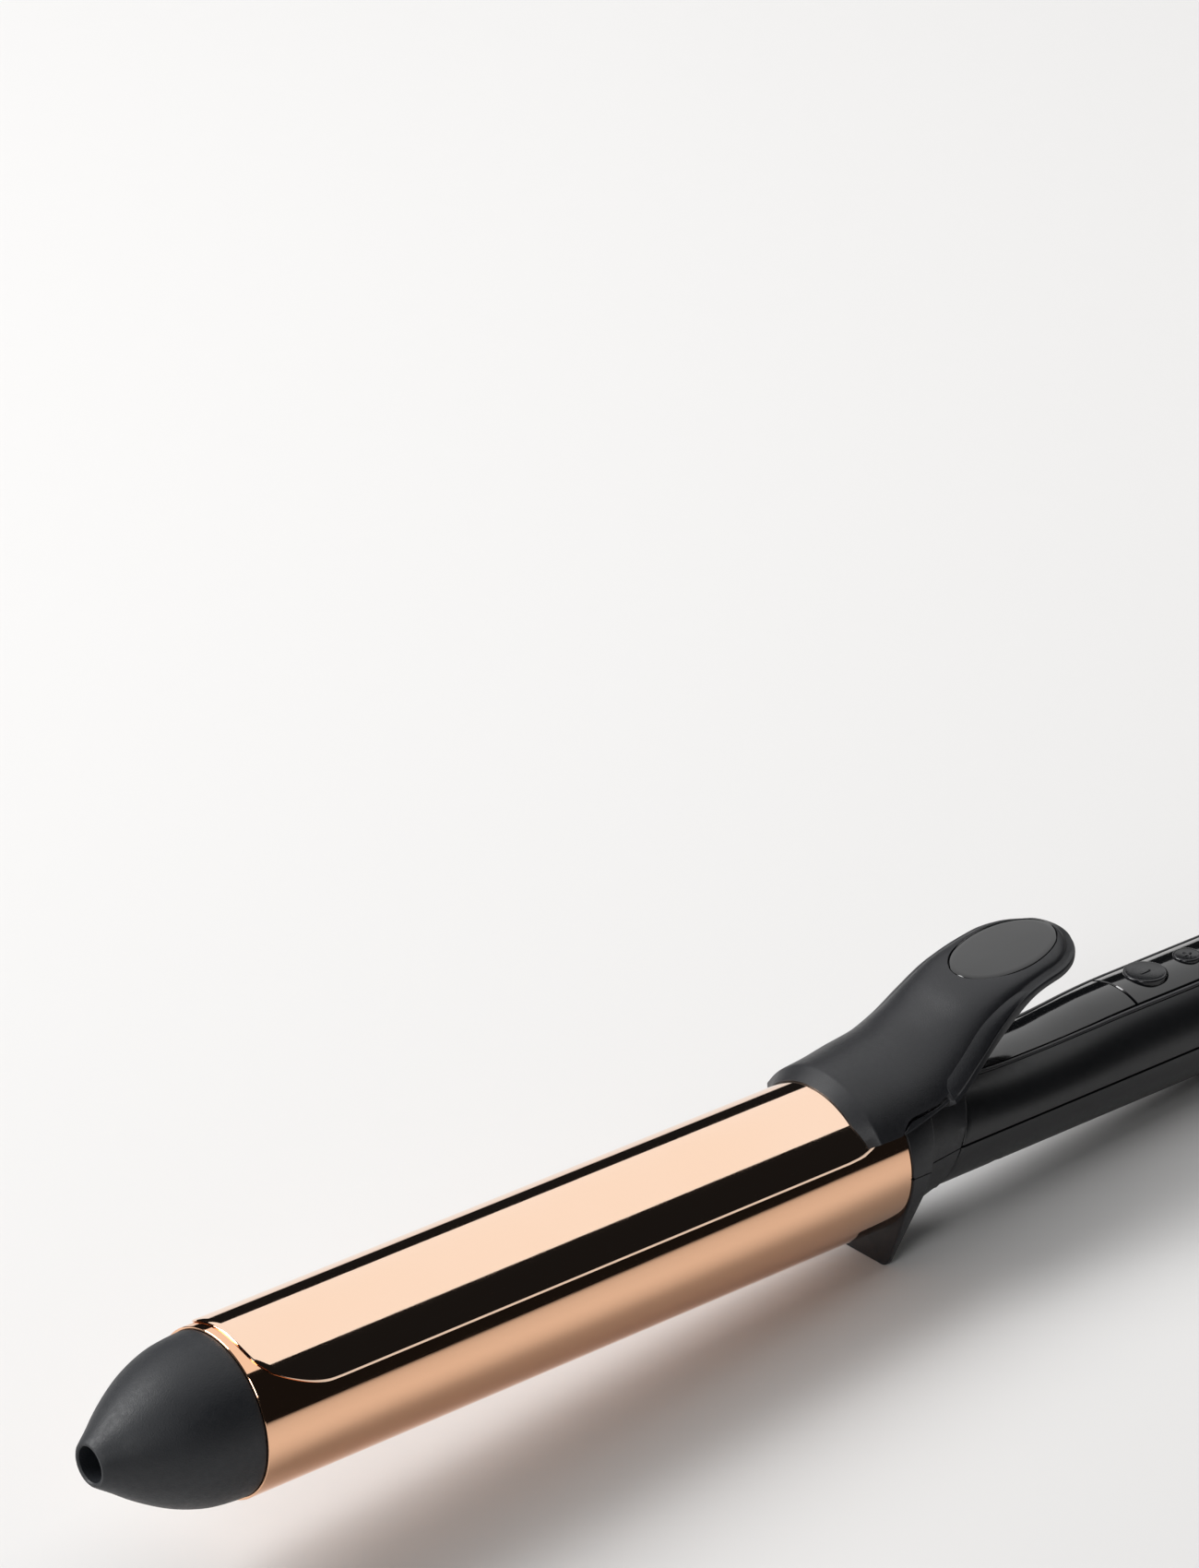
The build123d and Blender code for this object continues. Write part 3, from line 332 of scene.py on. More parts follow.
shoulder = [(TIP_BASE, outer[0][1] - 0.25), (TIP_BASE - 0.07, outer[0][1] - 0.07)]
tip = turned("bullet_tip", rear_side + shoulder + outer[1:] + inside, 160)
fit(tip, "iron_body", "cool_tip_resin", tip_resin, "cool_tip")

# ----------------------------------------
# Clamp spoon: thin sheet rolled to the barrel's curve, plated like it, with a softened edge and a
# rounded front. Its rear runs under the lever, to which three rivets hold it.
# ----------------------------------------
SPOON_R, SPOON_T = 19.12, 0.45
SPOON_HALF_W = 17.0
SPOON_OUTLINE = [(-176.4, 0), (-176.35, 4.5), (-176.15, 8.0), (-175.4, 10.8), (-173.7, 12.9), (-171.4, 14.3),
                 (-168.5, 15.45), (-165.2, 16.35), (-161.6, 16.9), (-157.5, 17.0)]
SPOON_REAR = [(0, -6.0), (15.4, -6.0), (16.4, -9.6), (16.9, -12.8), (17.0, -16.8)]


def spoon_sheet():
    """The rolled sheet: rows from side to side, each from the front edge to the rear."""
    steps = np.linspace(0, len(SPOON_OUTLINE) - 1, 40)
    half = np.array([glide(range(len(SPOON_OUTLINE)), SPOON_OUTLINE, s) for s in steps])
    half[:, 1] = np.minimum(half[:, 1], SPOON_HALF_W)
    sides = np.concatenate([half[::-1] * (1, -1), half[1:]])
    along = np.concatenate([np.linspace(0, 0.03, 5)[:-1], np.linspace(0.03, 1, 40)])
    rear_y, rear_x = zip(*SPOON_REAR)
    grids = []
    for inset, radius in ((0.22, SPOON_R), (0.0, SPOON_R + SPOON_T / 2), (0.22, SPOON_R + SPOON_T)):
        rows = []
        for front, y in sides:
            back_x = float(np.interp(abs(y), rear_y, rear_x)) - inset
            front_x = front + inset
            y = y * (1 - inset / SPOON_HALF_W)
            turn = math.asin(y / SPOON_R)
            rows.append([(front_x + v * (back_x - front_x), radius * math.sin(turn), radius * math.cos(turn))
                         for v in along])
        grids.append(np.array(rows))
    return grids


def sheet_mesh(name, low, middle, high):
    """A closed sheet from its under side, its outer rim and its upper side, as grids of points."""
    shape = bmesh.new()
    under, over = [[[shape.verts.new(p) for p in row] for row in grid] for grid in (low, high)]
    for grid in (under, over):
        for one, two in zip(grid, grid[1:]):
            for j in range(len(one) - 1):
                shape.faces.new((one[j], one[j + 1], two[j + 1], two[j]))
    rim = [(i, 0) for i in range(len(low))] + [(len(low) - 1, j) for j in range(1, len(low[0]))]
    rim += [(i, len(low[0]) - 1) for i in range(len(low) - 2, -1, -1)]
    rim += [(0, j) for j in range(len(low[0]) - 2, 0, -1)]
    edge = [shape.verts.new(middle[i][j]) for i, j in rim]
    for n, (i, j) in enumerate(rim):
        m = (n + 1) % len(rim)
        k, l = rim[m]
        shape.faces.new((under[i][j], under[k][l], edge[m], edge[n]))
        shape.faces.new((edge[n], edge[m], over[k][l], over[i][j]))
    bmesh.ops.recalc_face_normals(shape, faces=shape.faces)
    return piece_of(name, shape, IRON, 60.0)


spoon = sheet_mesh("rolled_spoon", *spoon_sheet())
# The thin sheet takes a paler plating than the tube.
pale_gold = rose_gold_polished("rose_gold_plated_sheet_polished", "#fadac2", "#f9d6bb")
fit(spoon, "clamp", "rose_gold_plate", pale_gold, "clamp_spoon")

# ----------------------------------------
# Thumb lever, upper shell: one moulding that starts as a saddle over the spoon's rear, narrows
# over the hinge and rises to the thumb pad. It is closed below by the cover.
# ----------------------------------------
# stations along x: lower edge's half width and height, crown's height and how far its level
# tangent reaches, and the point (y, z) that the side's tangent points at
LEVER = [(-9.5, 18.9, 12.0, 22.3, 7.6, 14.8, 18.4), (-3.0, 19.3, 12.3, 23.0, 7.6, 15.0, 18.9),
         (3.0, 19.1, 13.6, 23.7, 7.7, 15.0, 19.9), (13.5, 17.6, 15.9, 25.8, 8.1, 15.0, 21.8),
         (19.5, 16.3, 18.8, 28.6, 8.2, 14.4, 24.9), (25.5, 15.0, 22.6, 31.8, 8.6, 13.8, 29.4),
         (32.5, 13.8, 26.6, 34.0, 9.6, 13.7, 33.3), (40.0, 12.9, 30.2, 35.1, 10.5, 13.2, 34.9),
         (47.0, 12.5, 31.7, 36.2, 10.6, 13.0, 36.0), (54.0, 12.5, 32.6, 37.3, 10.6, 13.0, 37.0)]
LEVER_JOINT = [(-6.0, 10.4), (-3.2, 12.4), (-0.7, 14.1), (4.0, 14.9), (9.5, 15.6), (15.2, 17.9),
               (22.0, 22.1), (30.0, 27.7), (37.0, 31.6), (44.0, 33.5), (52.0, 34.8), (60.0, 36.0)]
LIP_EDGE = [(0.0, -13.4), (13.0, -12.9), (16.3, -11.4), (19.0, -9.8)]   # (y, x) of the saddle's front edge
LEVER_WALL, SADDLE_R, SKIRT_R = 1.8, 19.62, 19.95
PAD_TURN_X, PAD_SLOPE, PAD_R = 46.5, 0.155, 12.6
PAD_LIP = 0.7
SIDE_STEPS = 22


def curve_points(row, t):
    """Half of a lever section at parameters t: (y, z) from the crown at 0 to the lower edge at 1."""
    half_w, edge, crown, reach, side_y, side_z = row
    hold = np.array([(0, crown), (reach, crown), (side_y, side_z), (half_w, edge)])
    t = np.asarray(t)[:, None]
    return ((1 - t) ** 3 * hold[0] + 3 * (1 - t) ** 2 * t * hold[1] + 3 * (1 - t) * t**2 * hold[2]
            + t**3 * hold[3])


def inward(points):
    """Unit normals of a half section: down at the crown, but outwards at the side."""
    way = np.gradient(points, axis=0)
    way /= np.linalg.norm(way, axis=1)[:, None]
    return np.stack([-way[:, 1], -way[:, 0]], axis=1)


def joint_at(x, row):
    """The curve parameter at which the section at x meets the joint between shell and cover."""
    t = np.linspace(0, 1, 400)
    z = curve_points(row, t)[:, 1]
    level = float(glide(*zip(*LEVER_JOINT), x)) if x > LEVER_JOINT[0][0] else -99.0
    return float(np.interp(-level, -z, t))


def ease(low, high, x):
    """Rises smoothly from 0 at low to 1 at high."""
    t = min(max((x - low) / (high - low), 0.0), 1.0)
    return t * t * (3 - 2 * t)


def inner_side(x, points):
    """The second surface of the lever: the saddle's circle in front, a wall's offset behind."""
    radius = SADDLE_R + (SKIRT_R - SADDLE_R) * ease(-1.2, -0.4, x)
    round_in = points / np.linalg.norm(points, axis=1)[:, None] * radius
    wall_in = points + inward(points) * LEVER_WALL
    wall_in[:, 0] = np.maximum(wall_in[:, 0], 0)
    k = ease(9.5, 12.5, x)
    return round_in * (1 - k) + wall_in * k


def both_sides(points):
    """A half section as a whole one, from the left end over the crown to the right end."""
    return np.concatenate([points[::-1] * (-1, 1), points[1:]])


def shell_section(x):
    """Outside and inside of the upper shell at x, each from left to right."""
    row = glide(*zip(*[(s[0], s[1:]) for s in LEVER]), x)
    end = joint_at(x, row)
    low = 0.016 if x > -3.0 else 0.0
    t = np.concatenate([np.linspace(0, end - low - 0.012, SIDE_STEPS), [end - low]])
    outside = curve_points(row, t)
    inside = inner_side(x, outside)
    outside[-1] += inward(outside)[-1] * 0.18
    return both_sides(outside), both_sides(inside)


def lever_rings():
    """Rings of the upper shell from the saddle's lip back to the turned end of the pad."""
    rings = []
    first_out, first_in = shell_section(LEVER[0][0])
    lip_y, lip_x = zip(*LIP_EDGE)
    turn = np.arctan2(first_out[:, 0], first_out[:, 1])
    saddle = np.stack([SADDLE_R * np.sin(turn), SADDLE_R * np.cos(turn)], axis=1)
    front = np.interp(np.abs(saddle[:, 0]), lip_y, lip_x)
    for ahead, thick in ((0.0, 0.14), (0.02, 0.27)):
        grown = saddle * (1 + thick / SADDLE_R)
        base = saddle if thick > 0.2 else grown
        rings.append(np.concatenate([np.column_stack([front + ahead, grown]),
                                     np.column_stack([front + ahead, base])[::-1]]))
    corner = np.column_stack([np.full(len(turn), LEVER[0][0]), first_out])
    lip = np.column_stack([front + 0.02, saddle * (1 + 0.27 / SADDLE_R)])
    after = np.column_stack([np.full(len(turn), LEVER[0][0] + 1.2), shell_section(LEVER[0][0] + 1.2)[0]])
    way_in = (lip - corner) / np.linalg.norm(lip - corner, axis=1)[:, None]
    way_out = (after - corner) / np.linalg.norm(after - corner, axis=1)[:, None]
    for t in (0.0, 0.25, 0.5, 0.75, 1.0):
        a, b = corner + way_in * 0.55, corner + way_out * 0.55
        bend = (1 - t) ** 2 * a + 2 * t * (1 - t) * corner + t**2 * b
        under = np.column_stack([bend[:, 0], saddle])[::-1]
        rings.append(np.concatenate([bend, under]))
    for x in np.concatenate([np.arange(LEVER[0][0] + 1.2, -1.4, 1.0), [-1.2, -0.8, -0.4],
                             np.arange(0.4, PAD_TURN_X, 0.9), [PAD_TURN_X]]):
        out, into = shell_section(float(x))
        ring = np.concatenate([out, into[::-1]])
        rings.append(np.column_stack([np.full(len(ring), x), ring]))
    last = rings[-1]
    for turn in np.linspace(0, math.pi / 2, 20)[1:]:
        reach = np.abs(last[:, 1])
        x = PAD_TURN_X + reach * math.sin(turn)
        lift = PAD_SLOPE * (x - PAD_TURN_X) + PAD_LIP * np.clip((x - 54.5) / 4.5, 0, 1) ** 2
        rings.append(np.column_stack([x, last[:, 1] * math.cos(turn), last[:, 2] + lift]))
    return rings


lever_top = skin("lever_top_shell", lever_rings(), caps=False)

# The thumb inlay's pocket is cut into the pad, a little wider than the inlay.
INLAY_X, INLAY_Z, INLAY_A, INLAY_B = 43.8, 35.45, 14.0, 9.75
INLAY_GAP, POCKET_DEPTH = 0.22, 0.9


def apply_changes(piece):
    """Turns a piece's modifiers into its mesh."""
    bpy.context.view_layer.update()
    seen = piece.evaluated_get(bpy.context.evaluated_depsgraph_get())
    mesh = bpy.data.meshes.new_from_object(seen)
    piece.modifiers.clear()
    piece.data = mesh
    return piece


def cut(piece, cutter, operation="DIFFERENCE", solver="EXACT"):
    """Cuts one closed mesh with another, or joins them, and clears the cutter away."""
    change = piece.modifiers.new("cut", "BOOLEAN")
    change.operation = operation
    change.solver = solver
    change.object = cutter
    apply_changes(piece)
    bpy.data.objects.remove(cutter)
    return shade(piece)


def oval_rings(half_x, half_y, heights):
    """Rings of an oval on the pad's slope, for (height, inset) pairs; the last ring is the deepest inset."""
    turn = circle(120)
    lean = math.hypot(1, PAD_SLOPE)
    rings = []
    for height, inset in heights:
        u, v = (half_x - inset) * np.cos(turn), (half_y - inset) * np.sin(turn)
        rings.append(np.column_stack([INLAY_X + (u - height * PAD_SLOPE) / lean, v,
                                      INLAY_Z + (u * PAD_SLOPE + height) / lean]))
    return rings


pocket = skin("pocket_cutter", oval_rings(INLAY_A + INLAY_GAP, INLAY_B + INLAY_GAP,
                                          [(-POCKET_DEPTH, 0), (9, 0)]))
cut(lever_top, pocket)
# Glass-filled nylon: a soft satin black with a very fine grain.
lever_resin = moulded("nylon_satin_black", "#16171a", "#1d1e22", 0.28, (0.36, 0.46), 0.35)
fit(lever_top, "clamp", "black_satin_shell", lever_resin, "lever_shell")

# ----------------------------------------
# Thumb inlay: a glossy oval, moulded apart and pressed into the pad's pocket.
# ----------------------------------------
def glossy(name, dark, light):
    """Piano-black ABS: a polished mould leaves a deep even shine with the slightest waviness."""
    material, tree, shader, place = new_material(name)
    two_tone(tree, shader, place, 60.0, 2.0, dark, light)
    tree.links.new(speckle(tree, place, 0.6, 4.0, 0.06, 0.13), shader.inputs["Roughness"])
    shader.inputs["Coat Weight"].default_value = 0.4
    shader.inputs["Coat Roughness"].default_value = 0.04
    wave = add(tree, "ShaderNodeTexNoise", links={"Vector": place}, inputs={"Scale": 250.0, "Detail": 1.0})
    relief_of(tree, shader, wave.outputs["Fac"], 0.04, 0.0001)
    return material


piano_black = glossy("abs_piano_black", "#08090a", "#0c0d0f")
domes = [(0.16 * (1 - s**2), (1 - s) * INLAY_B * 0.999) for s in np.linspace(0.97, 0.0, 10)]
edge = [(-POCKET_DEPTH + 0.05, 0), (-0.28, 0), (-0.12, 0.06), (-0.02, 0.22)]
inlay = skin("thumb_inlay", oval_rings(INLAY_A, INLAY_B, edge + domes))
fit(inlay, "clamp", "black_gloss_panel", piano_black, "lever_inlay")

# ----------------------------------------
# Lever cover: the lower moulding that closes the lever. Its rim runs back along one side, round
# the pad's end and forward again, and a floor joins the two sides under the pad.
# ----------------------------------------
COVER_FRONT = -3.0


def cover_section(x):
    """The right side of the cover's rim at x: outside from the joint down, then inside back up."""
    row = glide(*zip(*[(s[0], s[1:]) for s in LEVER]), x)
    end = min(joint_at(x, row) + 0.016, 0.985)
    t = np.linspace(end, 1, 9)
    outside = curve_points(row, t)
    inside = inner_side(x, outside)
    outside[0] += inward(outside)[0] * 0.18
    outside[-1] += inward(outside)[-1] * 0.25
    return np.concatenate([outside, inside[::-1]])


cover_rings = []
for x in np.concatenate([np.arange(COVER_FRONT, PAD_TURN_X, 0.9), [PAD_TURN_X]]):
    section = cover_section(float(x))
    cover_rings.append(np.column_stack([np.full(len(section), x), section]))
last = cover_rings[-1]
round_rings = []
for turn in np.linspace(0, math.pi, 40)[1:-1]:
    x = PAD_TURN_X + last[:, 1] * math.sin(turn)
    lift = PAD_SLOPE * (x - PAD_TURN_X)
    round_rings.append(np.column_stack([x, last[:, 1] * math.cos(turn), last[:, 2] + lift]))
mirrored = [ring * (1, -1, 1) for ring in cover_rings]
cover = skin("lever_rim_cover", cover_rings + round_rings + mirrored[::-1])
floor_rings = []
for x in np.concatenate([np.arange(25.0, PAD_TURN_X, 1.5),
                         PAD_TURN_X + 11.7 * np.sin(np.linspace(0, 1.5, 14))]):
    row = glide(*zip(*[(s[0], s[1:]) for s in LEVER]), float(min(x, PAD_TURN_X)))
    wide = (row[0] - 0.9) * math.sqrt(max(1 - (max(x - PAD_TURN_X, 0) / 11.75) ** 2, 0.004))
    level = row[1] + PAD_SLOPE * max(x - PAD_TURN_X, 0)
    across = [(-wide, level + 0.15), (wide, level + 0.15), (wide, level + 1.5), (-wide, level + 1.5)]
    floor_rings.append([(x, y, z) for y, z in across])
cut(cover, skin("cover_floor", floor_rings), "UNION")
fit(cover, "clamp", "black_satin_shell", lever_resin, "lever_cover")

# ----------------------------------------
# Collar: two nylon halves that meet level on the barrel's axis, clamp the tube's rear ring and
# carry the wedge foot below, which holds the hot barrel off the table.
# ----------------------------------------
COLLAR_R = 19.5
FOOT_HALF_W, FOOT_DEPTH, FOOT_ROUND = 10.7, 26.2, 2.8
COLLAR_REAR = [(-27.0, 1.3), (-3.2, 4.4), (0.0, 5.5), (10.0, 8.0), (20.0, 10.4)]   # (z, x) of the rear face
COLLAR_FRONT = [(-27.0, 0.2), (-21.0, 0.2), (-10.0, 0.0), (20.0, 0.0)]             # (z, x) of the front face
HALF_GAP = 0.12


def edge_x(line, z):
    """Where a face drawn as (z, x) points stands at height z."""
    zs, xs = zip(*line)
    return np.interp(z, zs, xs)


def shrink(loop, inset):
    """A closed (y, z) outline drawn inwards by inset."""
    way = np.roll(loop, -1, axis=0) - np.roll(loop, 1, axis=0)
    normal = np.column_stack([-way[:, 1], way[:, 0]]) / np.linalg.norm(way, axis=1)[:, None]
    centre = loop.mean(axis=0)
    if np.sum(normal * (centre - loop)) < 0:
        normal = -normal
    return loop + normal * inset


def block_rings(loop, front, rear, edge=0.45):
    """Rings of a block with a (y, z) outline between two faces given as (z, x) lines, edges rounded."""
    rings = []
    for ahead, inset in ((0, 1), (0.1, 0.55), (0.3, 0.29), (0.55, 0.1), (1, 0)):
        shape = shrink(loop, inset * edge)
        rings.append(np.column_stack([edge_x(front, shape[:, 1]) + ahead * edge, shape]))
    for behind, inset in ((1, 0), (0.55, 0.1), (0.3, 0.29), (0.1, 0.55), (0, 1)):
        shape = shrink(loop, inset * edge)
        rings.append(np.column_stack([edge_x(rear, shape[:, 1]) - behind * edge, shape]))
    return rings


def thick_edge(line, points):
    """A closed outline sampled evenly enough to stay round."""
    out = []
    for a, b in zip(points, np.roll(points, -1, axis=0)):
        count = max(1, int(np.linalg.norm(b - a) / line))
        out += [a + (b - a) * k / count for k in range(count)]
    return np.array(out)


rise = math.asin(HALF_GAP / COLLAR_R)
top_arc = np.linspace(rise, math.pi - rise, 81)
upper_loop = np.column_stack([COLLAR_R * np.cos(top_arc), COLLAR_R * np.sin(top_arc)])
corner = math.hypot(FOOT_HALF_W, FOOT_DEPTH)
touch = math.atan2(-FOOT_DEPTH, FOOT_HALF_W) + math.acos(COLLAR_R / corner)
side_arc = np.linspace(-rise, touch, 24)
right_side = np.column_stack([COLLAR_R * np.cos(side_arc), COLLAR_R * np.sin(side_arc)])
lean_angle = math.atan2(FOOT_HALF_W - right_side[-1][0], FOOT_DEPTH + right_side[-1][1])
foot_in = FOOT_ROUND * math.tan((math.pi / 2 + lean_angle) / 2)
foot_arc = np.linspace(lean_angle, -math.pi / 2, 9)
centre = np.array((FOOT_HALF_W - foot_in, -FOOT_DEPTH + FOOT_ROUND))
foot_round = centre + FOOT_ROUND * np.column_stack([np.cos(foot_arc), np.sin(foot_arc)])
right_half = np.concatenate([right_side, foot_round])
lower_loop = np.concatenate([right_half, right_half[::-1] * (-1, 1)])
collar_top = skin("collar_top_half", block_rings(thick_edge(0.8, upper_loop), COLLAR_FRONT, COLLAR_REAR))
collar_low = skin("collar_foot_half", block_rings(thick_edge(0.8, lower_loop), COLLAR_FRONT, COLLAR_REAR))
fit(collar_top, "iron_body", "black_satin_shell", lever_resin, "collar_upper")
fit(collar_low, "iron_body", "black_satin_shell", lever_resin, "collar_lower")

# ----------------------------------------
# Neck: a nylon cone in two halves between the collar and the handle, screwed from below. The
# lever's hinge bracket sits on its top.
# ----------------------------------------
NECK_R, NECK_CROWN, RECESS_R = 17.6, 14.4, 2.4
HANDLE_W, HANDLE_H = 15.4, 14.6
HANDLE_FRONT, HANDLE_SLANT = 18.3, 0.42
TOP_LINE = [(0, 14.4), (17, 14.3), (26, 13.4), (34, 12.6), (48, 12.3), (56, 12.45), (64, 13.05),
            (72, 13.75), (80, 14.15), (90, 14.2), (150, 14.2), (160, 14.2)]   # (x, height) of the crown
NECK_SCREWS = [(11.5, -10.8), (11.5, 10.8)]
SCREW_ENTRY, SCREW_FLOOR = -30, -7.5        # z between which a screw's recess is cut


def handle_front(z):
    """x of the handle's slanted front face at height z."""
    return HANDLE_FRONT + HANDLE_SLANT * z


def oval(x, turn, inset=0.0):
    """The handle's outline at x: (y, z) at angles from the side (0) over the top (a quarter turn)."""
    crown = float(glide(*zip(*TOP_LINE), x))
    height = np.where(np.sin(turn) > 0, crown, HANDLE_H) - inset
    return np.column_stack([(HANDLE_W - inset) * np.cos(turn), height * np.sin(turn)])


def neck_rings(top):
    """Rings of one half of the cone from the collar's rear face to the handle's front."""
    side = 1 if top else -1
    turn = np.linspace(0.008, math.pi - 0.008, 91) * side
    rings = []
    for share, inset in ((0, 0.6), (0, 0), (0.2, 0), (0.4, 0), (0.6, 0), (0.8, 0), (0.97, 0),
                         (1.0, 0.25), (1.0, 1.2)):
        ring = []
        for angle in turn:
            z = 16.5 * math.sin(angle)
            x = edge_x(COLLAR_REAR, z) + 0.12
            x += (handle_front(z) - 0.22 - x) * share
            near = min(max((x - 0.5) / (HANDLE_FRONT - 0.5), 0), 1)
            wide = NECK_R + (HANDLE_W - NECK_R) * near - inset
            high = NECK_R + ((NECK_CROWN if top else HANDLE_H) - NECK_R) * near - inset
            ring.append((x, wide * math.cos(angle), high * math.sin(angle) + side * 0.02))
        rings.append(ring)
    return rings


def rod(name, x, y, low, high, radius, steps=40):
    """An upright round bar, used to cut or to fill."""
    turn = circle(steps)
    rings = [np.column_stack([x + radius * np.cos(turn), y + radius * np.sin(turn), np.full(steps, z)])
             for z in (low, high)]
    return skin(name, rings)


neck_top = skin("neck_top_half", neck_rings(True))
neck_low = skin("neck_low_half", neck_rings(False))
for x, y in NECK_SCREWS:
    cut(neck_low, rod("screw_recess", x, y, SCREW_ENTRY, SCREW_FLOOR, RECESS_R), solver="MANIFOLD")
fit(neck_top, "iron_body", "black_satin_shell", lever_resin, "neck_upper")
fit(neck_low, "iron_body", "black_satin_shell", lever_resin, "neck_lower")

# ----------------------------------------
# Handle shells: two long mouldings with a level parting line. The upper one is open along the
# top for the panels; the lower one has four screw wells.
# ----------------------------------------
HANDLE_END, WALL = 150.0, 2.4
SHELL_GAP = 0.22
SHELL_SCREWS = [(x, y) for x in (34.0, 138.0) for y in (-9.4, 9.4)]
WELL_R, BOSS_R, BOSS_LOW, BOSS_TOP = 2.15, 2.7, -8.7, -0.5
BEAD_LINE = [(10, 7.2), (50, 7.3), (56, 7.4), (68, 7.95), (80, 8.35), (92, 8.45),
             (150, 8.45)]                                                     # (x, half width)
BEAD_W = 0.95
PANEL_END, PANEL_ROUND = 144.0, 5.0


def shell_rings(top):
    """Rings of one handle shell, each once round its wall: outside over, then inside back."""
    side = 1 if top else -1
    start = math.asin(SHELL_GAP / HANDLE_H)
    turn = np.linspace(start, math.pi - start, 97) * side
    stations = np.concatenate([[0, 0.0012, 0.004], np.linspace(0.012, 0.985, 64), [0.996, 0.9988, 1.0]])
    insets = np.concatenate([[0.35, 0.12, 0.0], np.zeros(64), [0.0, 0.12, 0.35]])
    rings = []
    for share, inset in zip(stations, insets):
        rows = []
        for depth in (inset, WALL - inset):
            flat = oval(80.0, turn, depth)
            x = handle_front(flat[:, 1])
            x = x + (HANDLE_END - x) * share
            row = np.array([np.append(px, oval(px, np.array([a]), depth)[0]) for px, a in zip(x, turn)])
            rows.append(row)
        if side < 0:
            rows = [row[::-1] for row in rows]
        outside, inside = rows
        outside[0, 2] += side * 0.1
        outside[-1, 2] += side * 0.1
        rings.append(np.concatenate([outside, inside[::-1]]))
    return rings


def slot_outline(grow):
    """The panel opening seen from above, grown by grow beyond the bead's middle line: (x, y)."""
    xs = np.linspace(10, PANEL_END - PANEL_ROUND, 60)
    side = np.array([(x, float(glide(*zip(*BEAD_LINE), x)) + grow) for x in xs])
    half = side[-1][1]
    radius = min(PANEL_ROUND + grow, half)
    turn = np.linspace(0, math.pi / 2, 14)[1:]
    bend = np.column_stack([PANEL_END - PANEL_ROUND + radius * np.sin(turn),
                            half - radius + radius * np.cos(turn)])
    right_edge = np.concatenate([side, bend])
    return np.concatenate([right_edge, right_edge[::-1] * (1, -1)])


def prism(name, outline, low, high):
    """A closed upright prism over an (x, y) outline."""
    return skin(name, [np.column_stack([outline, np.full(len(outline), z)]) for z in (low, high)])


handle_top = skin("handle_top_shell", shell_rings(True))
cut(handle_top, prism("panel_opening", slot_outline(BEAD_W / 2 + 0.12), 6.0, 30.0))
handle_low = skin("handle_low_shell", shell_rings(False))
for x, y in SHELL_SCREWS:
    cut(handle_low, rod("screw_boss", x, y, BOSS_LOW, BOSS_TOP, BOSS_R), "UNION")
    cut(handle_low, rod("screw_well", x, y, SCREW_ENTRY, SCREW_FLOOR, WELL_R))
# Glass-filled polyester: deep black with a soft sheen, smoother than the lever.
shell_resin = moulded("pbt_sheen_black", "#101113", "#151619", 0.4, (0.32, 0.38), 0.05)
fit(handle_top, "iron_body", "black_matte_shell", shell_resin, "handle_shell_upper")
fit(handle_low, "iron_body", "black_matte_shell", shell_resin, "handle_shell_lower")

# ----------------------------------------
# Trim bead: one satin moulding that runs along the panels' edges and round behind them.
# ----------------------------------------
def on_handle(x, y, lift=0.0):
    """The point of the handle's top surface at (x, y), raised along its normal, and that normal."""
    crown = float(glide(*zip(*TOP_LINE), x))
    z = crown * math.sqrt(max(1 - (y / HANDLE_W) ** 2, 0))
    normal = Vector((0, y / HANDLE_W**2, z / crown**2)).normalized()
    return Vector((x, y, z)) + normal * lift, normal


def bead_rings():
    """A half-round bead swept along the opening's edge, following the handle's surface."""
    line = slot_outline(0.0)
    line = line[(line[:, 0] > 23.2)]
    spots = [on_handle(float(x), float(y)) for x, y in line]
    rings = []
    for i, (spot, normal) in enumerate(spots):
        way = (spots[min(i + 1, len(spots) - 1)][0] - spots[max(i - 1, 0)][0]).normalized()
        across = way.cross(normal)
        ring = []
        for turn in np.linspace(0, math.pi, 9):
            ring.append(spot + across * (BEAD_W / 2 * math.cos(turn)) + normal * (0.36 * math.sin(turn)))
        for wide in (-1, 1):
            ring.append(spot + across * (BEAD_W / 2 * wide) - normal * 2.2)
        rings.append(ring)
    return rings


trim = skin("trim_bead", bead_rings())
trim_resin = moulded("abs_satin_graphite", "#2a2b2d", "#323335", 0.2, (0.30, 0.38), 0.12)
fit(trim, "iron_body", "satin_trim", trim_resin, "trim_frame")

# ----------------------------------------
# Panels: two piano-black covers dropped into the bead, one under the lever and one behind it
# for the controls, with a fine gap between them.
# ----------------------------------------
PANEL_SPLIT, PANEL_GAP, PANEL_T = 79.7, 0.3, 1.8
POWER_X, POWER_R = 89.5, 5.2
TEMP_X, TEMP_R = (103.0, 115.0), 3.4
LAMP_FIRST, LAMP_PITCH, LAMP_COUNT, LAMP_R = 122.0, 2.6, 5, 0.9


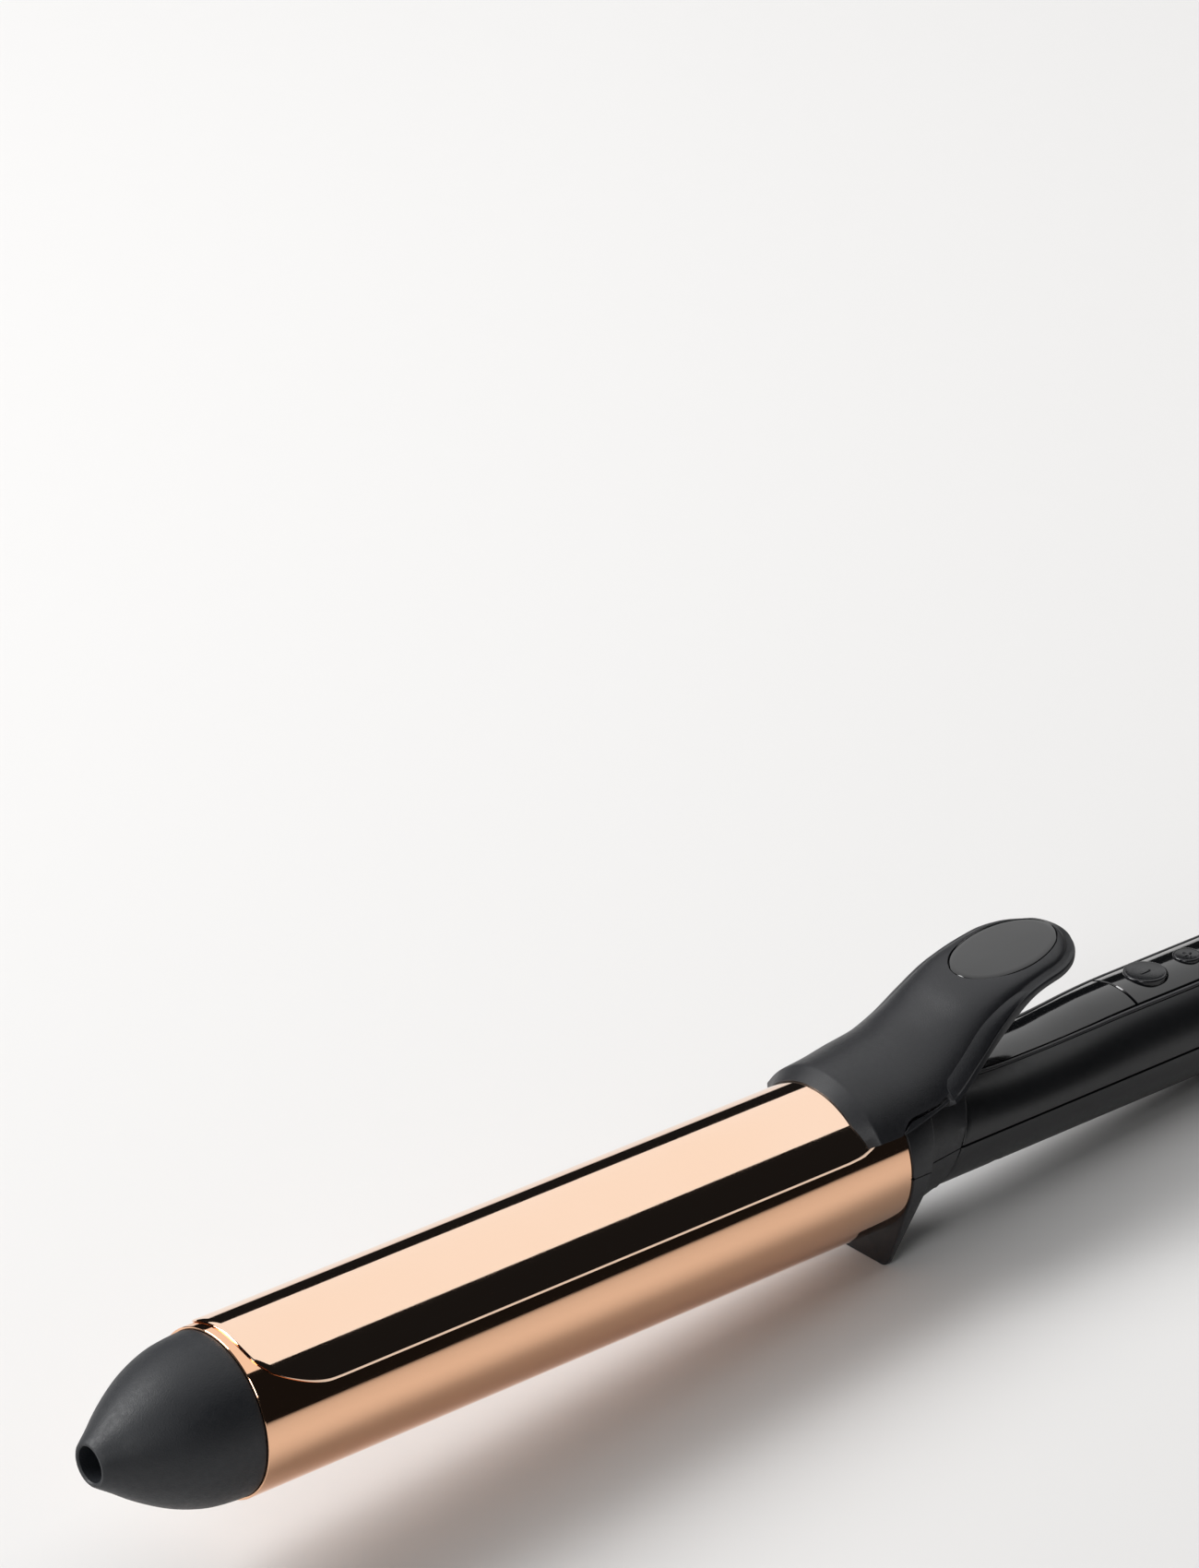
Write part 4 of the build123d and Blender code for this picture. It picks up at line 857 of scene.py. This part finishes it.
def panel_rings(front, rear):
    """Rings of a crowned panel between two stations, its edges softened."""
    share = np.linspace(-1, 1, 41)
    xs = np.concatenate([[front, front + 0.08, front + 0.25], np.linspace(front + 1, rear - 1, 50),
                         [rear - 0.25, rear - 0.08, rear]])
    rings = []
    for x in xs:
        half = float(glide(*zip(*BEAD_LINE), x)) - BEAD_W / 2 - 0.06
        behind = x - (PANEL_END - PANEL_ROUND)
        if behind > 0:
            half -= PANEL_ROUND - math.sqrt(max(PANEL_ROUND**2 - (behind * 1.1) ** 2, 0.05))
        drop = 0.2 * max(0, 1 - min(x - front, rear - x) / 0.25)
        over, under = [], []
        for s in share:
            y = half * s
            soft = 0.22 * max(0.0, (abs(s) - 0.975) / 0.025)
            spot, _ = on_handle(float(x), float(y), -soft - drop)
            over.append(spot)
            under.append(spot - Vector((0, 0, PANEL_T)))
        rings.append(over + under[::-1])
    return rings


front_panel = skin("lever_side_panel", panel_rings(24.3, PANEL_SPLIT - PANEL_GAP / 2))
fit(front_panel, "iron_body", "black_gloss_panel", piano_black, "top_panel")
rear_panel = skin("control_panel_cover", panel_rings(PANEL_SPLIT + PANEL_GAP / 2, PANEL_END - 0.7))
for x, radius in ((POWER_X, POWER_R), (TEMP_X[0], TEMP_R), (TEMP_X[1], TEMP_R)):
    cut(rear_panel, rod("key_hole", x, 0, 5, 20, radius + 0.18, 72))
for i in range(LAMP_COUNT):
    cut(rear_panel, rod("lamp_hole", LAMP_FIRST + i * LAMP_PITCH, 0, 5, 20, LAMP_R + 0.04, 28))
fit(rear_panel, "iron_body", "black_gloss_panel", piano_black, "control_panel")

# ----------------------------------------
# Keys: a large power key and two small heat keys, moulded in black resin with dished tops. Each
# stands a little proud of the panel and rides down on its own switch.
# ----------------------------------------
KEY_TOP, KEY_BASE = 14.75, 10.2


def key_cap(name, x, radius):
    """A round key turned about its own upright axis: hidden flange, side, soft edge and dished top."""
    profile = [(0.0, KEY_BASE), (radius + 0.8, KEY_BASE), (radius + 0.8, KEY_BASE + 0.9),
               (radius, KEY_BASE + 0.9), (radius, KEY_TOP - 0.45), (radius - 0.06, KEY_TOP - 0.2),
               (radius - 0.2, KEY_TOP - 0.06),
               (radius - 0.45, KEY_TOP)]
    profile += [(radius * s, KEY_TOP - 0.3 * (1 - s**2)) for s in np.linspace(0.86, 0.0, 8)]
    turn = circle(96)
    rings = [[(x + r * math.cos(a), r * math.sin(a), z) for r, z in profile] for a in turn]
    return skin(name, rings, loop=True)


def bar(x, length, wide, turned_bar):
    """A raised rounded bar on a key's top."""
    turn = circle(24)
    u = (length / 2 - wide / 2) * np.sign(np.cos(turn)) + wide / 2 * np.cos(turn)
    v = wide / 2 * np.sin(turn)
    if turned_bar:
        u, v = v, u
    rings = []
    for z, grow in ((KEY_TOP - 0.6, 1.0), (KEY_TOP - 0.16, 1.0), (KEY_TOP - 0.1, 0.9)):
        rings.append(np.column_stack([x + u * grow, v * grow, np.full(24, z)]))
    return skin("key_mark", rings)


key_resin = moulded("polycarbonate_key_black", "#101113", "#16171a", 0.2, (0.16, 0.24), 0.1)
power_key = key_cap("power_key_cap", POWER_X, POWER_R)
cut(power_key, bar(POWER_X, 3.2, 0.7, False), "UNION")
fit(power_key, "power_key", "button_resin", key_resin, "power_button")
up_key = key_cap("heat_up_key_cap", TEMP_X[0], TEMP_R)
cut(up_key, bar(TEMP_X[0], 2.8, 0.6, False), "UNION")
cut(up_key, bar(TEMP_X[0], 2.8, 0.6, True), "UNION")
fit(up_key, "temp_up_key", "button_resin", key_resin, "temp_up_button")
down_key = key_cap("heat_down_key_cap", TEMP_X[1], TEMP_R)
cut(down_key, bar(TEMP_X[1], 2.8, 0.6, True), "UNION")
fit(down_key, "temp_down_key", "button_resin", key_resin, "temp_down_button")

# ----------------------------------------
# Rear cap: closes the shells with a rounded end and holds the turning cord inlet in its bore.
# ----------------------------------------
CAP_L, CAP_ROUND, SWIVEL_HOLE_R = 7.0, 4.5, 6.55


def cap_rings():
    """Rings of the cap from its inner face over the rounded edge and back through the bore."""
    turn = circle(144)
    start, end = HANDLE_END + 0.2, HANDLE_END + CAP_L
    hole = np.column_stack([np.cos(turn), np.sin(turn)])
    rings = [(start, oval(HANDLE_END, turn, 0.35)), (start + 0.12, oval(HANDLE_END, turn, 0.12)),
             (start + 0.35, oval(HANDLE_END, turn, 0.0))]
    for bend in np.linspace(0, math.pi / 2, 14):
        rings.append((end - CAP_ROUND + CAP_ROUND * math.sin(bend),
                      oval(HANDLE_END, turn, CAP_ROUND * (1 - math.cos(bend)))))
    edge = rings[-1][1]
    for share in (0.35, 0.7, 0.9):
        rings.append((end, edge * (1 - share) + hole * (SWIVEL_HOLE_R + 0.4) * share))
    rings += [(end, hole * (SWIVEL_HOLE_R + 0.4)), (end - 0.12, hole * (SWIVEL_HOLE_R + 0.12)),
              (end - 0.4, hole * SWIVEL_HOLE_R), (start, hole * SWIVEL_HOLE_R)]
    return [np.column_stack([np.full(len(turn), x), ring]) for x, ring in rings]


cap = skin("rear_end_cap", cap_rings(), loop=True)
fit(cap, "iron_body", "black_matte_shell", shell_resin, "rear_cap")

# ----------------------------------------
# Cord inlet: a hollow nylon nozzle that turns in the cap, with a flange and a stem inside for
# the slip rings. Shallow ribs round the nozzle give the fingers a hold.
# ----------------------------------------
SWIVEL_R, SWIVEL_BORE, SWIVEL_END, STEM_R = 6.4, 3.5, 170.0, 4.6
nozzle = [(136.0, SWIVEL_BORE), (136.0, STEM_R), (147.5, STEM_R), (147.5, 8.4), (149.9, 8.4),
          (149.9, SWIVEL_R), (158.4, SWIVEL_R)]
for rib in range(4):
    at = 158.9 + rib * 2.6
    grow = SWIVEL_R - 0.42 * rib
    nozzle += [(at, grow - 0.75), (at + 0.8, grow - 0.8), (at + 1.2, grow - 0.3), (at + 2.0, grow - 0.36)]
nozzle += [(SWIVEL_END - 0.5, 4.7), (SWIVEL_END, 4.3), (SWIVEL_END, SWIVEL_BORE + 0.3),
           (SWIVEL_END - 0.3, SWIVEL_BORE)]
inlet = turned("cord_inlet_nozzle", rounded(nozzle, 0.3, 2), 96)
fit(inlet, "cord_inlet", "black_satin_shell", lever_resin, "cord_swivel")

# ----------------------------------------
# Screws: zinc-plated pan heads with a cross recess. Two close the neck and four the handle, all
# driven from below.
# ----------------------------------------
SCREW_HEAD_R, SCREW_HEAD_H, SCREW_SHANK_R = 2.0, 1.6, 1.0


def metal(name, dark, light, rough, grain_mm, relief=0.1):
    """Bare or plated metal: fine cloudy changes of tone and shine, and a faint grain."""
    material, tree, shader, place = new_material(name)
    two_tone(tree, shader, place, 400.0, 5.0, dark, light)
    shader.inputs["Metallic"].default_value = 1.0
    tree.links.new(speckle(tree, place, 3 * grain_mm, 3.0, rough[0], rough[1]), shader.inputs["Roughness"])
    grain = speckle(tree, place, grain_mm, 3.0, 0.0, 1.0)
    relief_of(tree, shader, grain, relief, 0.00003)
    return material


def spindle(name, profile, steps=36):
    """A closed (radius, z) profile turned about an upright axis, in its own millimetres."""
    turn = circle(steps)
    rings = [[(r * math.cos(a), r * math.sin(a), z) for r, z in profile] for a in turn]
    return skin(name, rings, loop=True, place=Matrix.Identity(4))


def set_tree():
    """Geometry Nodes: one piece on every given point, made real and given its material."""
    tree = bpy.data.node_groups.new("pieces_on_points", "GeometryNodeTree")
    for label, kind in (("Points", "NodeSocketGeometry"), ("Piece", "NodeSocketObject"),
                        ("Size", "NodeSocketFloat"), ("Finish", "NodeSocketMaterial")):
        tree.interface.new_socket(name=label, in_out="INPUT", socket_type=kind)
    tree.interface.new_socket(name="Set", in_out="OUTPUT", socket_type="NodeSocketGeometry")
    given = add(tree, "NodeGroupInput")
    piece = add(tree, "GeometryNodeObjectInfo", links={"Object": given.outputs["Piece"]})
    spread = add(tree, "GeometryNodeInstanceOnPoints", links={
        "Points": given.outputs["Points"], "Instance": piece.outputs["Geometry"],
        "Scale": given.outputs["Size"]})
    real = add(tree, "GeometryNodeRealizeInstances", links={"Geometry": spread.outputs["Instances"]})
    coated = add(tree, "GeometryNodeSetMaterial", links={
        "Geometry": real.outputs["Geometry"], "Material": given.outputs["Finish"]})
    add(tree, "NodeGroupOutput", links={"Set": coated.outputs["Geometry"]})
    return tree


on_points = set_tree()


def set_of(name, piece, places, size, material):
    """A set of like pieces at places in the iron's frame, as one plain mesh."""
    mesh = bpy.data.meshes.new(name)
    mesh.from_pydata([tuple(p) for p in places], [], [])
    group = bpy.data.objects.new(name, mesh)
    bpy.context.scene.collection.objects.link(group)
    change = group.modifiers.new("set", "NODES")
    change.node_group = on_points
    sockets = {s.name: s.identifier for s in on_points.interface.items_tree if s.in_out == "INPUT"}
    change[sockets["Piece"]] = piece
    change[sockets["Size"]] = float(size)
    change[sockets["Finish"]] = material
    apply_changes(group)
    group.data.transform(IRON)
    return shade(group)


def pan_screw():
    """One screw, head down: a soft-edged pan head with a cross recess and a plain shank."""
    head = [(SCREW_HEAD_R * s, -SCREW_HEAD_H * math.sqrt(1 - (0.82 * s) ** 4))
            for s in np.linspace(0, 1, 9)]
    profile = head + [(SCREW_HEAD_R, -0.1), (SCREW_HEAD_R - 0.1, 0), (SCREW_SHANK_R, 0),
                      (SCREW_SHANK_R, 6.0), (SCREW_SHANK_R - 0.4, 6.5), (0, 6.5)]
    screw = spindle("pan_screw", profile)
    for long_way in (True, False):
        wide, deep = (1.15, 0.22) if long_way else (0.22, 1.15)
        box = [[(-wide, -deep, z), (wide, -deep, z), (wide, deep, z), (-wide, deep, z)]
               for z in (-3.0, -0.75)]
        cut(screw, skin("cross_recess", box, place=Matrix.Identity(4)))
    return screw


# Zinc-plated steel: cool grey, half bright, with a faint bloom.
zinc = metal("steel_zinc_plated", "#a9abae", "#b9bbbe", (0.28, 0.4), 0.15)
screw = pan_screw()
neck_set = set_of("neck_screw_set", screw, [(x, y, SCREW_FLOOR) for x, y in NECK_SCREWS], 1.0, zinc)
fit(neck_set, "iron_body", "screw_steel", zinc, "neck_screws")
handle_set = set_of("handle_screw_set", screw, [(x, y, SCREW_FLOOR) for x, y in SHELL_SCREWS], 1.0, zinc)
fit(handle_set, "iron_body", "screw_steel", zinc, "handle_screws")
bpy.data.objects.remove(screw)

# ----------------------------------------
# Heat lamps: five clear light pipes in a row behind the keys, one for each heat step, each with
# a domed end just proud of the panel.
# ----------------------------------------
def clear_resin(name, tint):
    """Clear acrylic, faintly smoked, with a fine haze in its roughness."""
    material, tree, shader, place = new_material(name)
    two_tone(tree, shader, place, 900.0, 2.0, tint, "#e9eef2")
    tree.links.new(speckle(tree, place, 0.3, 2.0, 0.12, 0.22), shader.inputs["Roughness"])
    shader.inputs["IOR"].default_value = 1.49
    shader.inputs["Transmission Weight"].default_value = 0.75
    return material


acrylic = clear_resin("acrylic_clear", "#cfd6db")
LENS_TOP, LENS_L, LENS_DOME = 14.35, 5.5, 0.35
pipe = [(0.0, -LENS_L), (LAMP_R - 0.05, -LENS_L), (LAMP_R, -LENS_L + 0.1)]
pipe += [(LAMP_R * math.cos(a), -LENS_DOME + LENS_DOME * math.sin(a))
         for a in np.linspace(0, math.pi / 2, 6)]
pipe_piece = spindle("light_pipe", pipe, 24)
lamp_row = [(LAMP_FIRST + LAMP_PITCH * i, 0, LENS_TOP) for i in range(LAMP_COUNT)]
lenses = set_of("heat_lamp_lenses", pipe_piece, lamp_row, 1.0, acrylic)
bpy.data.objects.remove(pipe_piece)
fit(lenses, "iron_body", "lens_clear", acrylic, "indicator_lenses")

# ----------------------------------------
# Inner pieces: what the covers hide keeps its built shape and takes a finish near that of its real
# material. The thermistor takes clear acrylic for its glass, and the lamps take dull phenolic.
# ----------------------------------------
# Spring steel: darker and bluer than the plated screws.
spring_steel = metal("steel_spring_blued", "#7f848c", "#8f949b", (0.3, 0.42), 0.2)
# Extruded aluminium: pale and satin.
extruded = metal("aluminium_extruded_satin", "#cfd1d2", "#dcdddd", (0.35, 0.5), 0.4)
# Brass: warm yellow, lightly tarnished.
brass = metal("brass_drawn", "#b98f47", "#c9a25a", (0.25, 0.4), 0.2)
# Sintered alumina: off-white, dull and chalky.
ceramic = moulded("alumina_sintered", "#dcd7cd", "#e8e4dc", 0.15, (0.65, 0.8), 0.3)
# Silicone rubber sleeve: a dull grey-white skin.
silicone = moulded("silicone_sleeve_grey", "#b6b1a8", "#c3beb5", 0.3, (0.55, 0.7), 0.2)
# Pressed mica sheet: mottled brown-gold.
mica = moulded("mica_sheet_pressed", "#8f7a4c", "#b39d68", 0.5, (0.3, 0.5), 0.3)
# Solder-masked laminate: dark green with a half shine.
laminate = moulded("circuit_laminate_green", "#123f22", "#1b5430", 0.4, (0.25, 0.35), 0.15)
# Phenolic moulding of switches and the like: plain dull black.
phenolic = moulded("phenolic_dull_black", "#1b1c1e", "#26272a", 0.2, (0.4, 0.55), 0.2)
# Epoxy-dipped film capacitor: mustard yellow, slightly glossy.
epoxy = moulded("epoxy_capacitor_yellow", "#b98b1e", "#c79b2c", 0.4, (0.2, 0.35), 0.2)
INNER = {
    zinc: ("tip_screw", "tip_bracket", "hinge_bracket", "hinge_pin", "spoon_rivets", "lever_screws"),
    spring_steel: ("spreader_springs", "clamp_spring"),
    extruded: ("heat_spreader_upper", "heat_spreader_lower"),
    brass: ("thermal_fuse", "brush_contacts", "slip_rings"),
    ceramic: ("heater_plate",),
    silicone: ("heater_leads",),
    mica: ("rear_insulator",),
    laminate: ("circuit_board",),
    phenolic: ("tact_switches", "power_triac", "indicator_lamps", "swivel_retainer"),
    epoxy: ("mains_capacitor",),
    acrylic: ("thermistor",),
}
for material, nodes in INNER.items():
    for node in nodes:
        for slot in frame["nodes"][node].material_slots:
            slot.material = material
